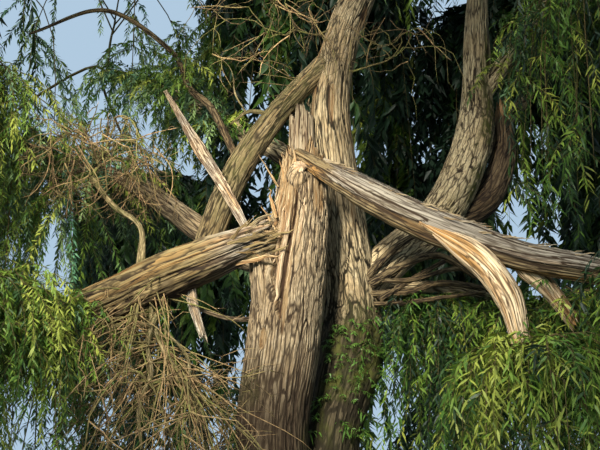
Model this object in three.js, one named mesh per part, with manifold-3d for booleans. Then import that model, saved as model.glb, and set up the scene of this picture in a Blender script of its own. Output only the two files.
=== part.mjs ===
// A storm-broken weeping willow, from the flat cut at ground level to the crown.
// Millimetres, +Z up. The origin is the middle of the ground cut, and the open, broken side faces -Y.
// Places and sizes in the tables below are in metres, the size a tree is measured in.
import * as THREE from "three";
import Module from "manifold-3d";

const wasm = await Module();
wasm.setup();

// Driving dimensions, in millimetres
const METRE = 1000;
const CLEARANCE = 0.4;
const SLIVER = 0.05;
const TREE_HEIGHT = 12.4 * METRE;
const ROOT_FLARE_HEIGHT = 0.3 * METRE;
const LEAF_LENGTH = 1.25 * METRE;
const LEAF_WIDTH = 0.27 * METRE;
const LEAF_THICKNESS = 0.03 * METRE;
const TWIG_RADIUS = 0.013 * METRE;
const SPLINTER_RADIUS = 0.022 * METRE;
const SPLINTER_ROOT = 0.05 * METRE;
const STEM_RADIUS = 0.024 * METRE;
const TWIG_TIP_RADIUS = 0.006 * METRE;
const LEAF_SPACING = 1.7 * METRE;
const SEAT_DEPTH = 0.004 * METRE;
const NEIGHBOUR_MARGIN = 0.05 * METRE;
const LIMB_MARGIN = 0.06 * METRE;
const SAMPLE_STEP = 0.06 * METRE;

// Shares and counts
const ROOT_COUNT = 7;
const ROOT_FLARE = 0.42;
const ROOT_SPREAD = 0.3;
const TRUNK_SIDES = 24;
const FINE_SIDES = 10;
const STEM_SPANS = 5;
const LEAFY_TWIGS = 5;
const BARE_TWIGS = 5;
const SHARED_SEAT = 0.58;
const TWIGGED_SHARE = 0.3;
const ENTRY_SHARE = 0.45;
const FULL_REACH = 1.5;
const LEAF_TRIES = 5;
const LEAF_SPLAY = 0.45;
const LEAF_DROOP = 0.6;
const GOLDEN_ANGLE = Math.PI * (3 - Math.sqrt(5));
const WAKE_DRAWS = 4;
const FIRST_MASS_SEED = 101;
const SEEDS_PER_MASS = 1000;

// The storm opened the crown towards a person who stands in front: a wedge from that eye is clear.
const EYE = new THREE.Vector3(-0.1, -8, 1.6).multiplyScalar(METRE);
const GAP_HALF_WIDTH = Math.tan(THREE.MathUtils.degToRad(18.5));
const GAP_TOP = Math.tan(THREE.MathUtils.degToRad(30.5));
const GAP_BACK = 0.7 * METRE;

// The trunk's levels: height, middle x and y, half width and half depth
const TRUNK_LEVELS = [
  [0, 0, 0, 0.62, 0.54],
  [0.12, 0, 0, 0.61, 0.53],
  [0.3, -0.01, 0.01, 0.6, 0.51],
  [0.55, -0.03, 0.04, 0.58, 0.48],
  [0.95, -0.06, 0.09, 0.57, 0.46],
  [1.35, -0.09, 0.14, 0.56, 0.44],
  [1.65, -0.11, 0.17, 0.5, 0.38],
  [1.85, -0.12, 0.18, 0.34, 0.24],
];

// Each limb runs through points [x, y, z, radius]. "broken" gives a torn end its splinters, in metres.
const LIMBS = [
  {
    name: "front_stem",
    sides: 12,
    through: [
      [-0.27, 0.04, 1.2, 0.32],
      [-0.34, -0.02, 2.1, 0.3],
      [-0.25, -0.08, 2.85, 0.31],
      [-0.18, -0.12, 3.4, 0.3],
      [-0.1, -0.15, 3.95, 0.25],
      [-0.08, -0.18, 4.34, 0.2],
    ],
    broken: { teeth: 0.14, pit: 0.18, splinters: 4, length: 0.3 },
  },
  {
    name: "back_stem",
    sides: 12,
    through: [
      [0.08, 0.28, 1.2, 0.3],
      [0.17, 0.34, 2.1, 0.25],
      [0.34, 0.42, 2.85, 0.28],
      [0.35, 0.45, 3.4, 0.24],
      [0.28, 0.44, 4.1, 0.22],
      [0.19, 0.4, 5.1, 0.19],
      [0.3, 0.42, 5.85, 0.175],
      [0.52, 0.46, 6.5, 0.165],
      [0.78, 0.5, 7.3, 0.15],
    ],
  },
  {
    name: "torn_prong",
    sides: 8,
    through: [
      [-0.26, -0.1, 2.75, 0.16],
      [-0.38, -0.22, 3.25, 0.13],
      [-0.44, -0.26, 3.7, 0.07],
    ],
    broken: { teeth: 0.05, pit: 0.05, splinters: 3, length: 0.16 },
  },
  {
    name: "back_slab",
    sides: 8,
    through: [
      [0.1, 0.35, 4.0, 0.13],
      [-0.05, 0.3, 4.55, 0.13],
      [-0.07, 0.29, 4.95, 0.12],
    ],
    broken: { teeth: 0.04, pit: 0.05, splinters: 2, length: 0.2 },
  },
  {
    name: "left_bough",
    sides: 10,
    depth: 0.8,
    through: [
      [-2.2, -0.68, 2.62, 0.09],
      [-1.9, -0.6, 2.93, 0.14],
      [-1.55, -0.54, 3.13, 0.175],
      [-1.2, -0.48, 3.32, 0.19],
      [-0.85, -0.42, 3.49, 0.17],
      [-0.5, -0.33, 3.66, 0.11],
    ],
    broken: { teeth: 0.1, pit: 0.08, splinters: 5, length: 0.34 },
  },
  {
    name: "fallen_bough",
    sides: 10,
    depth: 0.8,
    through: [
      [2.6, -1.1, 3.1, 0.07],
      [2.1, -1.0, 3.26, 0.09],
      [1.6, -0.88, 3.4, 0.115],
      [1.0, -0.72, 3.67, 0.15],
      [0.5, -0.57, 3.97, 0.13],
      [0.14, -0.43, 4.24, 0.09],
      [-0.12, -0.36, 4.42, 0.05],
    ],
    broken: { teeth: 0.05, pit: 0.04, splinters: 3, length: 0.16 },
  },
  {
    name: "fallen_prong_front",
    sides: 8,
    through: [
      [0.85, -0.76, 3.7, 0.1],
      [1.27, -0.86, 3.38, 0.105],
      [1.47, -0.95, 3.05, 0.1],
      [1.53, -1.0, 2.72, 0.06],
    ],
  },
  {
    name: "fallen_prong_back",
    sides: 8,
    through: [
      [1.5, -0.82, 3.42, 0.09],
      [1.8, -0.76, 3.2, 0.085],
      [2.0, -0.74, 2.92, 0.06],
    ],
  },
  {
    name: "left_stub",
    sides: 7,
    through: [
      [-1.02, -0.4, 3.4, 0.045],
      [-0.97, -0.38, 3.12, 0.045],
      [-0.9, -0.36, 2.9, 0.03],
    ],
    broken: { teeth: 0.04, pit: 0.02, splinters: 2, length: 0.12 },
  },
  {
    name: "standing_splinter",
    sides: 6,
    depth: 0.5,
    through: [
      [-0.5, -0.26, 3.68, 0.03],
      [-0.74, -0.2, 4.15, 0.05],
      [-0.97, -0.2, 4.52, 0.06],
      [-1.29, -0.25, 5.06, 0.012],
    ],
  },
  {
    name: "left_far_bough",
    sides: 8,
    through: [
      [0.1, 0.42, 3.7, 0.15],
      [-0.45, 0.4, 3.68, 0.14],
      [-0.92, 0.4, 3.9, 0.13],
      [-1.7, 0.68, 4.5, 0.09],
      [-2.5, 0.9, 4.8, 0.075],
      [-3.7, 1.1, 5.4, 0.07],
    ],
  },
  {
    name: "leaning_bough",
    sides: 8,
    through: [
      [-0.95, 0.38, 3.8, 0.13],
      [-0.8, 0.3, 4.2, 0.13],
      [-0.62, 0.26, 4.58, 0.125],
      [-0.36, 0.26, 4.98, 0.11],
      [-0.1, 0.3, 5.32, 0.1],
      [0.16, 0.36, 5.62, 0.11],
    ],
  },
  {
    name: "arching_branch",
    sides: 6,
    through: [
      [-0.68, 0.34, 4.62, 0.04],
      [-0.95, 0.5, 5.2, 0.036],
      [-1.18, 0.6, 5.46, 0.034],
      [-1.39, 0.6, 5.87, 0.028],
      [-2.06, 0.6, 6.31, 0.022],
      [-2.8, 0.6, 6.05, 0.014],
    ],
  },
  {
    name: "right_stem",
    sides: 10,
    through: [
      [0.35, 0.45, 3.3, 0.2],
      [0.76, 0.58, 3.74, 0.19],
      [1.16, 0.7, 4.1, 0.2],
      [1.47, 0.8, 4.6, 0.2],
      [1.65, 0.9, 5.15, 0.185],
      [1.72, 1.0, 5.75, 0.14],
      [1.82, 1.2, 6.8, 0.11],
      [2.1, 1.7, 8.3, 0.06],
    ],
  },
  {
    name: "right_fork",
    sides: 8,
    through: [
      [1.66, 0.94, 5.4, 0.1],
      [2.02, 1.0, 5.94, 0.085],
      [2.6, 1.1, 6.75, 0.075],
      [3.3, 1.15, 7.3, 0.07],
    ],
  },
  {
    name: "dark_stub",
    sides: 8,
    through: [
      [1.25, 0.82, 4.1, 0.12],
      [1.72, 0.95, 4.42, 0.15],
      [1.95, 1.05, 4.9, 0.13],
      [2.0, 1.15, 5.4, 0.07],
    ],
    broken: { teeth: 0.1, pit: 0.08, splinters: 3, length: 0.22 },
  },
  {
    name: "low_right_bough",
    sides: 8,
    through: [
      [0.35, 0.45, 3.25, 0.11],
      [0.8, 0.5, 3.4, 0.09],
      [1.3, 0.52, 3.42, 0.075],
      [1.75, 0.56, 3.32, 0.055],
    ],
  },
  {
    name: "hanging_branch",
    sides: 6,
    through: [
      [-1.3, -0.5, 3.15, 0.03],
      [-1.27, -0.52, 2.95, 0.03],
      [-1.16, -0.55, 2.7, 0.026],
      [-0.94, -0.57, 2.35, 0.022],
    ],
  },
  {
    name: "dead_branch",
    sides: 6,
    through: [
      [-1.4, -0.46, 3.4, 0.03],
      [-1.42, -0.42, 3.75, 0.028],
      [-1.66, -0.4, 3.95, 0.024],
      [-1.86, -0.4, 4.2, 0.02],
    ],
  },
  {
    name: "top_bough_centre",
    sides: 6,
    through: [
      [0.76, 0.5, 7.2, 0.13],
      [1.0, 0.5, 8.2, 0.11],
      [1.15, 0.45, 9.3, 0.08],
      [1.1, 0.5, 10.3, 0.055],
    ],
  },
  {
    name: "top_bough_left",
    sides: 6,
    through: [
      [0.74, 0.5, 7.05, 0.09],
      [0.1, 0.85, 8.0, 0.085],
      [-0.6, 1.15, 8.9, 0.07],
      [-1.1, 1.3, 9.3, 0.055],
    ],
  },
  {
    name: "top_bough_right",
    sides: 6,
    through: [
      [0.95, 0.48, 7.95, 0.085],
      [1.6, 0.1, 8.4, 0.08],
      [2.2, -0.5, 8.6, 0.07],
      [2.7, -1.0, 8.5, 0.07],
    ],
  },
  {
    name: "top_bough_front",
    sides: 6,
    through: [
      [0.9, 0.48, 7.75, 0.09],
      [0.75, -0.5, 8.4, 0.08],
      [0.6, -1.6, 8.7, 0.07],
      [0.5, -2.4, 8.55, 0.065],
    ],
  },
  {
    name: "left_front_bough",
    sides: 6,
    through: [
      [0.55, 0.47, 6.65, 0.09],
      [-0.5, 0.05, 7.2, 0.08],
      [-1.6, -0.7, 7.35, 0.07],
      [-2.5, -1.3, 7.1, 0.065],
    ],
  },
  {
    name: "back_bough",
    sides: 6,
    through: [
      [0.33, 0.45, 3.6, 0.14],
      [0.2, 1.6, 4.7, 0.12],
      [0.0, 2.7, 6.0, 0.09],
      [0.0, 3.4, 7.2, 0.065],
    ],
  },
  {
    name: "back_left_bough",
    sides: 6,
    through: [
      [0.25, 0.44, 4.4, 0.12],
      [-0.9, 1.3, 5.4, 0.1],
      [-1.8, 2.2, 6.2, 0.08],
      [-2.5, 2.9, 6.7, 0.07],
    ],
  },
  {
    name: "back_right_bough",
    sides: 6,
    through: [
      [0.95, 0.64, 3.9, 0.12],
      [1.6, 1.7, 4.8, 0.1],
      [2.2, 2.5, 5.7, 0.08],
      [2.8, 3.1, 6.5, 0.065],
    ],
  },
];

// Each mass grows from a limb's tip, or from its side at "from". Its twigs arch over "heart" and weep
// to "floor", no further than "reach" from the heart's upright line. "shared" masses leave one tip side
// by side, and "inGap" ones stand where the storm left foliage beside the clear wedge.
const MASSES = [
  {
    name: "crown_top",
    limb: "top_bough_centre",
    heart: [1.0, 0.5, 11.2],
    reach: 1.7,
    rise: 1.2,
    floor: 9.3,
  },
  {
    name: "crown_left",
    limb: "top_bough_left",
    heart: [-1.5, 1.3, 9.8],
    reach: 1.8,
    rise: 1.0,
    floor: 7.6,
  },
  {
    name: "crown_right",
    limb: "top_bough_right",
    shared: true,
    heart: [2.9, -0.5, 9.5],
    reach: 1.8,
    rise: 1.0,
    floor: 7.2,
  },
  {
    name: "crown_front",
    limb: "top_bough_front",
    shared: true,
    heart: [0.5, -2.1, 9.7],
    reach: 1.8,
    rise: 0.9,
    floor: 7.2,
  },
  {
    name: "crown_back",
    limb: "right_stem",
    heart: [2.2, 2.3, 9.4],
    reach: 1.8,
    rise: 1.1,
    floor: 7.2,
  },
  {
    name: "mid_right",
    limb: "right_fork",
    shared: true,
    heart: [3.9, 1.2, 7.8],
    reach: 1.6,
    rise: 0.9,
    floor: 5.2,
  },
  {
    name: "mid_right_front",
    limb: "top_bough_right",
    shared: true,
    heart: [3.5, -2.3, 7.7],
    reach: 1.6,
    rise: 0.8,
    floor: 4.9,
  },
  {
    name: "mid_front",
    limb: "top_bough_front",
    shared: true,
    heart: [0.4, -4.0, 7.7],
    reach: 1.6,
    rise: 0.8,
    floor: 4.6,
  },
  {
    name: "mid_left_front",
    limb: "left_front_bough",
    shared: true,
    heart: [-2.7, -1.6, 7.9],
    reach: 1.7,
    rise: 0.8,
    floor: 4.8,
  },
  {
    name: "mid_left",
    limb: "left_far_bough",
    shared: true,
    heart: [-4.0, 1.2, 6.6],
    reach: 1.6,
    rise: 0.9,
    floor: 3.9,
  },
  {
    name: "mid_back_left",
    limb: "back_left_bough",
    shared: true,
    heart: [-2.5, 3.2, 7.6],
    reach: 1.8,
    rise: 0.9,
    floor: 4.0,
  },
  {
    name: "mid_back",
    limb: "back_bough",
    shared: true,
    heart: [0.1, 3.7, 8.3],
    reach: 1.8,
    rise: 0.9,
    floor: 3.6,
  },
  {
    name: "mid_back_right",
    limb: "back_right_bough",
    shared: true,
    heart: [3.0, 3.5, 7.4],
    reach: 1.7,
    rise: 0.8,
    floor: 3.8,
  },
  {
    name: "curtain_right",
    limb: "right_fork",
    shared: true,
    heart: [5.0, 0.5, 5.4],
    reach: 1.4,
    rise: 0.5,
    floor: 0.8,
  },
  {
    name: "curtain_back_right",
    limb: "back_right_bough",
    shared: true,
    heart: [4.4, 3.5, 5.3],
    reach: 1.4,
    rise: 0.5,
    floor: 0.8,
  },
  {
    name: "curtain_back",
    limb: "back_bough",
    shared: true,
    heart: [1.4, 5.3, 5.6],
    reach: 1.5,
    rise: 0.5,
    floor: 0.9,
  },
  {
    name: "curtain_back_left",
    limb: "back_left_bough",
    shared: true,
    heart: [-1.9, 5.1, 5.4],
    reach: 1.5,
    rise: 0.5,
    floor: 0.9,
  },
  {
    name: "curtain_left_back",
    limb: "back_left_bough",
    shared: true,
    heart: [-4.5, 3.1, 5.2],
    reach: 1.4,
    rise: 0.5,
    floor: 0.8,
  },
  {
    name: "curtain_left",
    limb: "left_far_bough",
    shared: true,
    heart: [-5.1, 0.1, 4.9],
    reach: 1.4,
    rise: 0.5,
    floor: 0.8,
  },
  {
    name: "curtain_left_front",
    limb: "left_front_bough",
    shared: true,
    heart: [-4.3, -2.6, 5.3],
    reach: 1.5,
    rise: 0.6,
    floor: 0.9,
  },
  {
    name: "curtain_right_front",
    limb: "top_bough_right",
    shared: true,
    heart: [4.6, -2.0, 5.3],
    reach: 1.5,
    rise: 0.6,
    floor: 0.9,
  },
  {
    name: "right_spray",
    limb: "right_fork",
    shared: true,
    heart: [2.9, 0.0, 6.0],
    reach: 1.2,
    rise: 0.4,
    floor: 3.9,
    inGap: true,
  },
  {
    name: "low_right_spray",
    limb: "fallen_bough",
    heart: [2.8, -1.2, 3.1],
    reach: 1.0,
    rise: 0.4,
    floor: 0.9,
    inGap: true,
    atStart: true,
  },
  {
    name: "low_middle_spray",
    limb: "fallen_prong_front",
    heart: [1.6, -1.05, 2.35],
    reach: 0.8,
    rise: 0.4,
    floor: 0.8,
    inGap: true,
  },
  {
    name: "low_back_spray",
    limb: "low_right_bough",
    heart: [2.1, 0.6, 3.0],
    reach: 1.1,
    rise: 0.4,
    floor: 1.0,
    inGap: true,
  },
  {
    name: "low_left_spray",
    limb: "left_bough",
    heart: [-2.6, -0.8, 2.7],
    reach: 1.0,
    rise: 0.7,
    floor: 0.7,
    inGap: true,
    atStart: true,
  },
  {
    name: "left_spray",
    limb: "left_far_bough",
    shared: true,
    heart: [-3.0, -0.1, 4.9],
    reach: 1.1,
    rise: 0.5,
    floor: 3.1,
    inGap: true,
  },
  {
    name: "dead_twigs_low",
    limb: "hanging_branch",
    heart: [-1.1, -0.55, 2.15],
    reach: 0.9,
    rise: 0.45,
    floor: 1.2,
    inGap: true,
    bare: true,
  },
  {
    name: "dead_twigs_left",
    limb: "dead_branch",
    heart: [-1.8, -0.3, 4.4],
    reach: 0.7,
    rise: 0.3,
    floor: 3.9,
    inGap: true,
    bare: true,
  },
  {
    name: "dead_twigs_top",
    limb: "back_stem",
    from: [0.24, 0.36, 5.9],
    heading: [-0.7, -0.6, 0.1],
    heart: [-0.4, -0.1, 5.65],
    reach: 0.9,
    rise: 0.3,
    floor: 4.9,
    inGap: true,
    bare: true,
  },
  {
    name: "dead_twigs_right",
    limb: "back_stem",
    from: [0.34, 0.37, 5.5],
    heading: [0.9, -0.4, 0.2],
    heart: [0.85, 0.1, 5.6],
    reach: 0.7,
    rise: 0.2,
    floor: 4.8,
    inGap: true,
    bare: true,
  },
];

const heartOf = (mass) => new THREE.Vector3(...mass.heart).multiplyScalar(METRE);

// Seeded numbers from 0 to 1, the same on every run
function seededNumbers(seed) {
  let state = seed >>> 0;
  const next = () => {
    state = (Math.imul(state, 1664525) + 1013904223) >>> 0;
    return state / 2 ** 32;
  };
  for (let i = 0; i < WAKE_DRAWS; i++) next();
  return next;
}

// A point of the smooth curve through [x, y, z, radius] points, at t from 0 to 1. The radius runs straight.
function curvePoint(points, t) {
  const spans = points.length - 1;
  const at = Math.min(Math.max(t, 0), 1) * spans;
  const i = Math.min(Math.floor(at), spans - 1);
  const u = at - i;
  const b = points[i];
  const c = points[i + 1];
  const a = points[i - 1] ?? b.map((value, k) => 2 * value - c[k]);
  const d = points[i + 2] ?? c.map((value, k) => 2 * value - b[k]);
  const place = [0, 1, 2].map((k) => {
    const slopeIn = (c[k] - a[k]) / 2;
    const slopeOut = (d[k] - b[k]) / 2;
    const step = c[k] - b[k];
    const curve = 3 * step - 2 * slopeIn - slopeOut;
    return b[k] + slopeIn * u + curve * u * u + (slopeIn + slopeOut - 2 * step) * u ** 3;
  });
  return { place: new THREE.Vector3(...place), radius: b[3] + (c[3] - b[3]) * u };
}

// A point of the straight stretches through the same kind of points
function linePoint(points, t) {
  const spans = points.length - 1;
  const at = Math.min(Math.max(t, 0), 1) * spans;
  const i = Math.min(Math.floor(at), spans - 1);
  const [x, y, z, radius] = points[i].map((value, k) => value + (points[i + 1][k] - value) * (at - i));
  return { place: new THREE.Vector3(x, y, z), radius };
}

// Rings of a tube: middle, heading and two directions across it, carried along without twist.
// "setOut" is the first ring's heading where a stem leaves a bough's flat tip.
function tubeRings(points, count, setOut = null) {
  const rings = [];
  let across = null;
  for (let i = 0; i <= count; i++) {
    const { place, radius } = curvePoint(points, i / count);
    const before = curvePoint(points, (i - 0.2) / count).place;
    const after = curvePoint(points, (i + 0.2) / count).place;
    const heading = i === 0 && setOut ? setOut : after.sub(before).normalize();
    if (!across) across = Math.abs(heading.x) > 0.7 ? new THREE.Vector3(0, 1, 0) : new THREE.Vector3(1, 0, 0);
    across = across.clone().addScaledVector(heading, -across.dot(heading)).normalize();
    rings.push({ place, radius, heading, across, over: heading.clone().cross(across) });
  }
  return rings;
}

function solidFrom(vertices, triangles) {
  const mesh = new wasm.Mesh({
    numProp: 3,
    vertProperties: Float32Array.from(vertices.flatMap((v) => [v.x, v.y, v.z])),
    triVerts: Uint32Array.from(triangles),
  });
  return new wasm.Manifold(mesh);
}

// Closes a stack of rings of vertices into a solid, with a middle vertex at each end
function loft(rings, firstMiddle, lastMiddle) {
  const sides = rings[0].length;
  const vertices = [...rings.flat(), firstMiddle, lastMiddle];
  const triangles = [];
  const last = (rings.length - 1) * sides;
  const [low, high] = [vertices.length - 2, vertices.length - 1];
  for (let k = 0; k < sides; k++) {
    const next = (k + 1) % sides;
    for (let start = 0; start < last; start += sides) {
      const [a, b, c, d] = [start + k, start + next, start + sides + next, start + sides + k];
      triangles.push(a, b, c, a, c, d);
    }
    triangles.push(low, next, k, high, last + k, last + next);
  }
  return solidFrom(vertices, triangles);
}

// A unit step across a ring, shortened to "depth" along the ring's own front-to-back line
function flattened(ring, angle, depth) {
  const offset = ring.across.clone().multiplyScalar(Math.cos(angle));
  offset.addScaledVector(ring.over, Math.sin(angle));
  if (depth === 1) return offset;
  const back = new THREE.Vector3(0, 1, 0).addScaledVector(ring.heading, -ring.heading.y).normalize();
  return offset.addScaledVector(back, offset.dot(back) * (depth - 1));
}

function ringVertices(ring, sides, grow, depth) {
  return Array.from({ length: sides }, (_, k) => {
    const angle = (2 * Math.PI * k) / sides;
    const offset = flattened(ring, angle, depth);
    return ring.place.clone().addScaledVector(offset, ring.radius + grow / Math.cos(Math.PI / sides));
  });
}

const scaled = (points) => points.map((point) => point.map((value) => value * METRE));

// A long thin four-sided splinter that stands out of a torn end
function splinterSolid(foot, heading, length, radius) {
  const cone = new THREE.ConeGeometry(radius, length, 4, 1).toNonIndexed();
  cone.translate(0, length / 2, 0);
  cone.applyQuaternion(new THREE.Quaternion().setFromUnitVectors(new THREE.Vector3(0, 1, 0), heading));
  cone.translate(foot.x, foot.y, foot.z);
  return solidOfGeometry(cone);
}

function solidOfGeometry(geometry) {
  const found = new Map();
  const vertices = [];
  const position = geometry.getAttribute("position");
  const triangles = Array.from({ length: position.count }, (_, i) => {
    const v = new THREE.Vector3().fromBufferAttribute(position, i);
    const key = v.toArray().map((x) => Math.round(x * 100)).join();
    if (!found.has(key)) found.set(key, vertices.push(v) - 1);
    return found.get(key);
  });
  const kept = [];
  for (let i = 0; i < triangles.length; i += 3) {
    const [a, b, c] = triangles.slice(i, i + 3);
    if (a !== b && b !== c && a !== c) kept.push(a, b, c);
  }
  return solidFrom(vertices, kept);
}

// Round limbs have a ring between the points that they run through as well as at them
function limbRings(limb) {
  const perSpan = limb.sides < FINE_SIDES ? 1 : 2;
  return tubeRings(scaled(limb.through), (limb.through.length - 1) * perSpan);
}

// One tapering limb. With "grow" it is the same limb a little larger, which cuts its neighbours clear.
function limbSolid(limb, seed, grow = 0) {
  const depth = limb.depth ?? 1;
  const rings = limbRings(limb);
  const [first, last] = [rings[0], rings.at(-1)];
  const stack = rings.map((ring) => ringVertices(ring, limb.sides, grow, depth));
  stack[0].forEach((v) => v.addScaledVector(first.heading, -grow));
  let endMiddle = last.place.clone().addScaledVector(last.heading, grow);
  if (!limb.broken) {
    stack.at(-1).forEach((v) => v.addScaledVector(last.heading, grow));
    return loft(stack, first.place.clone().addScaledVector(first.heading, -grow), endMiddle);
  }
  const random = seededNumbers(seed);
  const { teeth, splinters, length } = limb.broken;
  const pit = grow > 0 ? 0 : limb.broken.pit;
  stack.at(-1).forEach((v, k) => {
    const tooth = teeth * METRE * (random() * 0.6 + (k % 2) * 0.4);
    v.addScaledVector(last.heading, tooth + grow);
  });
  endMiddle = endMiddle.addScaledVector(last.heading, -pit * METRE);
  let solid = loft(stack, first.place.clone().addScaledVector(first.heading, -grow), endMiddle);
  for (let i = 0; i < splinters; i++) {
    const angle = GOLDEN_ANGLE * i;
    const out = flattened(last, angle, depth);
    const long = length * METRE * (0.5 + 0.5 * random());
    const foot = last.place.clone().addScaledVector(out, last.radius * (0.35 + 0.4 * random()));
    foot.addScaledVector(last.heading, -(limb.broken.pit * METRE + SPLINTER_ROOT));
    const heading = last.heading.clone().addScaledVector(out, 0.25 * random()).normalize();
    foot.addScaledVector(heading, -4 * grow);
    const whole = long + limb.broken.pit * METRE + 16 * grow;
    solid = solid.add(splinterSolid(foot, heading, whole, SPLINTER_RADIUS + 2 * grow));
  }
  return solid;
}

// The trunk: level rings that spread into root buttresses near the ground
function trunkRadiusShare(angle, height) {
  let bump = 0;
  for (let i = 0; i < ROOT_COUNT; i++) {
    const root = (2 * Math.PI * i) / ROOT_COUNT + 0.3 * Math.sin(i * 2.4);
    const away = Math.atan2(Math.sin(angle - root), Math.cos(angle - root));
    bump += Math.exp(-((away / ROOT_SPREAD) ** 2));
  }
  return 1 + ROOT_FLARE * bump * Math.exp(-height / ROOT_FLARE_HEIGHT);
}

function trunkSolid(grow = 0) {
  const stack = TRUNK_LEVELS.map((level) => {
    const [z, x, y, halfWidth, halfDepth] = level.map((value) => value * METRE);
    return Array.from({ length: TRUNK_SIDES }, (_, k) => {
      const angle = (2 * Math.PI * k) / TRUNK_SIDES;
      const share = trunkRadiusShare(angle, z);
      return new THREE.Vector3(
        x + (halfWidth * share + grow) * Math.cos(angle),
        y + (halfDepth * share + grow) * Math.sin(angle),
        z,
      );
    });
  });
  const [z, x, y] = TRUNK_LEVELS.at(-1).map((value) => value * METRE);
  stack.at(-1).forEach((v) => (v.z += grow));
  return loft(stack, new THREE.Vector3(0, 0, 0), new THREE.Vector3(x, y, z + grow + 0.03 * METRE));
}

const largest = (solid) => solid.decompose().reduce((a, b) => (b.volume() > a.volume() ? b : a));

function boxesMeet(a, b) {
  const [p, q] = [a.boundingBox(), b.boundingBox()];
  return [0, 1, 2].every((k) => p.min[k] < q.max[k] && q.min[k] < p.max[k]);
}

// Limbs are cut clear of the trunk and of every limb that comes before them. Each keeps its own cutter.
function growLimbs() {
  const made = [{ name: "trunk", solid: trunkSolid(), cutter: trunkSolid(CLEARANCE) }];
  LIMBS.forEach((limb, i) => {
    let solid = limbSolid(limb, i + 1);
    for (const { cutter } of made) {
      if (boxesMeet(solid, cutter)) solid = solid.subtract(cutter);
    }
    solid = largest(solid.simplify(SLIVER));
    made.push({ name: limb.name, solid, cutter: limbSolid(limb, i + 1, CLEARANCE) });
  });
  return made;
}

// Points a short step apart along a limb, stem or twig, with its radius
function samplesAlong(points, owner, pointAt) {
  const steps = points.slice(1).map(([x, y, z], i) => {
    const [fromX, fromY, fromZ] = points[i];
    return Math.hypot(x - fromX, y - fromY, z - fromZ);
  });
  const length = steps.reduce((sum, step) => sum + step, 0);
  const count = Math.ceil((1.1 * length) / SAMPLE_STEP);
  return Array.from({ length: count + 1 }, (_, i) => ({ ...pointAt(points, i / count), owner }));
}

// Stems that share a tip are spaced evenly round it, in the order of the ways they turn
function seatAngle(mass, tip) {
  const sharing = MASSES.filter((other) => other.limb === mass.limb && other.shared).map((other) => {
    const towards = heartOf(other).sub(tip.place);
    return { name: other.name, turn: Math.atan2(towards.dot(tip.over), towards.dot(tip.across)) };
  });
  sharing.sort((a, b) => a.turn - b.turn);
  const place = sharing.findIndex((other) => other.name === mass.name);
  return sharing[0].turn + (2 * Math.PI * place) / sharing.length;
}

// Where a mass's stem starts, and which way it sets out
function stemStart(mass) {
  if (mass.from) {
    const foot = new THREE.Vector3(...mass.from).multiplyScalar(METRE);
    return { foot, heading: new THREE.Vector3(...mass.heading).normalize(), spread: new THREE.Vector3() };
  }
  const limb = LIMBS.find((each) => each.name === mass.limb);
  const rings = limbRings(limb);
  const tip = mass.atStart ? rings[0] : rings.at(-1);
  const heading = tip.heading.clone().multiplyScalar(mass.atStart ? -1 : 1);
  const foot = tip.place.clone().addScaledVector(heading, -SEAT_DEPTH);
  const spread = new THREE.Vector3();
  if (mass.shared) {
    const angle = seatAngle(mass, tip);
    spread.addScaledVector(tip.across, Math.cos(angle)).addScaledVector(tip.over, Math.sin(angle));
    foot.addScaledVector(spread, tip.radius * SHARED_SEAT);
  }
  return { foot, heading, spread };
}

// A mass's stem leaves its seat along the bough and turns to the heart of the mass, in straight stretches
function stemLine(mass) {
  const { foot, heading, spread } = stemStart(mass);
  const heart = heartOf(mass);
  const far = foot.distanceTo(heart);
  const lead = foot.clone().addScaledVector(heading, 0.12 * far);
  lead.addScaledVector(spread, 0.06 * far);
  const bend = foot.clone().lerp(heart, 0.5).addScaledVector(heading, 0.15 * far);
  bend.addScaledVector(spread, 0.08 * far);
  const points = [foot, lead, bend, heart].map((point) => [...point.toArray(), STEM_RADIUS]);
  return Array.from({ length: STEM_SPANS + 1 }, (_, i) => {
    return [...curvePoint(points, i / STEM_SPANS).place.toArray(), STEM_RADIUS];
  });
}

function awayFromLine(point, mass) {
  const heart = heartOf(mass);
  const z = Math.min(Math.max(point.z, mass.floor * METRE), heart.z);
  return Math.hypot(point.x - heart.x, point.y - heart.y, point.z - z);
}

// The wedge that the storm left open, seen from the eye in front of the tree
function inStormGap(point) {
  const away = point.y - EYE.y;
  if (away < 0 || point.y > GAP_BACK) return false;
  return Math.abs(point.x - EYE.x) < away * GAP_HALF_WIDTH && point.z < EYE.z + away * GAP_TOP;
}

// A mass keeps to its reach, its floor and top, and the side of every neighbour that is nearer to it
function inSpace(point, mass) {
  const own = awayFromLine(point, mass);
  const heart = heartOf(mass);
  const top = Math.min(heart.z + mass.rise * METRE, TREE_HEIGHT);
  if (Math.hypot(point.x - heart.x, point.y - heart.y) > mass.reach * METRE) return false;
  if (point.z < mass.floor * METRE || point.z > top) return false;
  if (!mass.inGap && inStormGap(point)) return false;
  return MASSES.every((other) => other === mass || awayFromLine(point, other) > own + NEIGHBOUR_MARGIN);
}

const touches = (point, margin, obstacles, owner) =>
  obstacles.some((each) => each.owner !== owner && point.distanceTo(each.place) < each.radius + margin);

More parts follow.
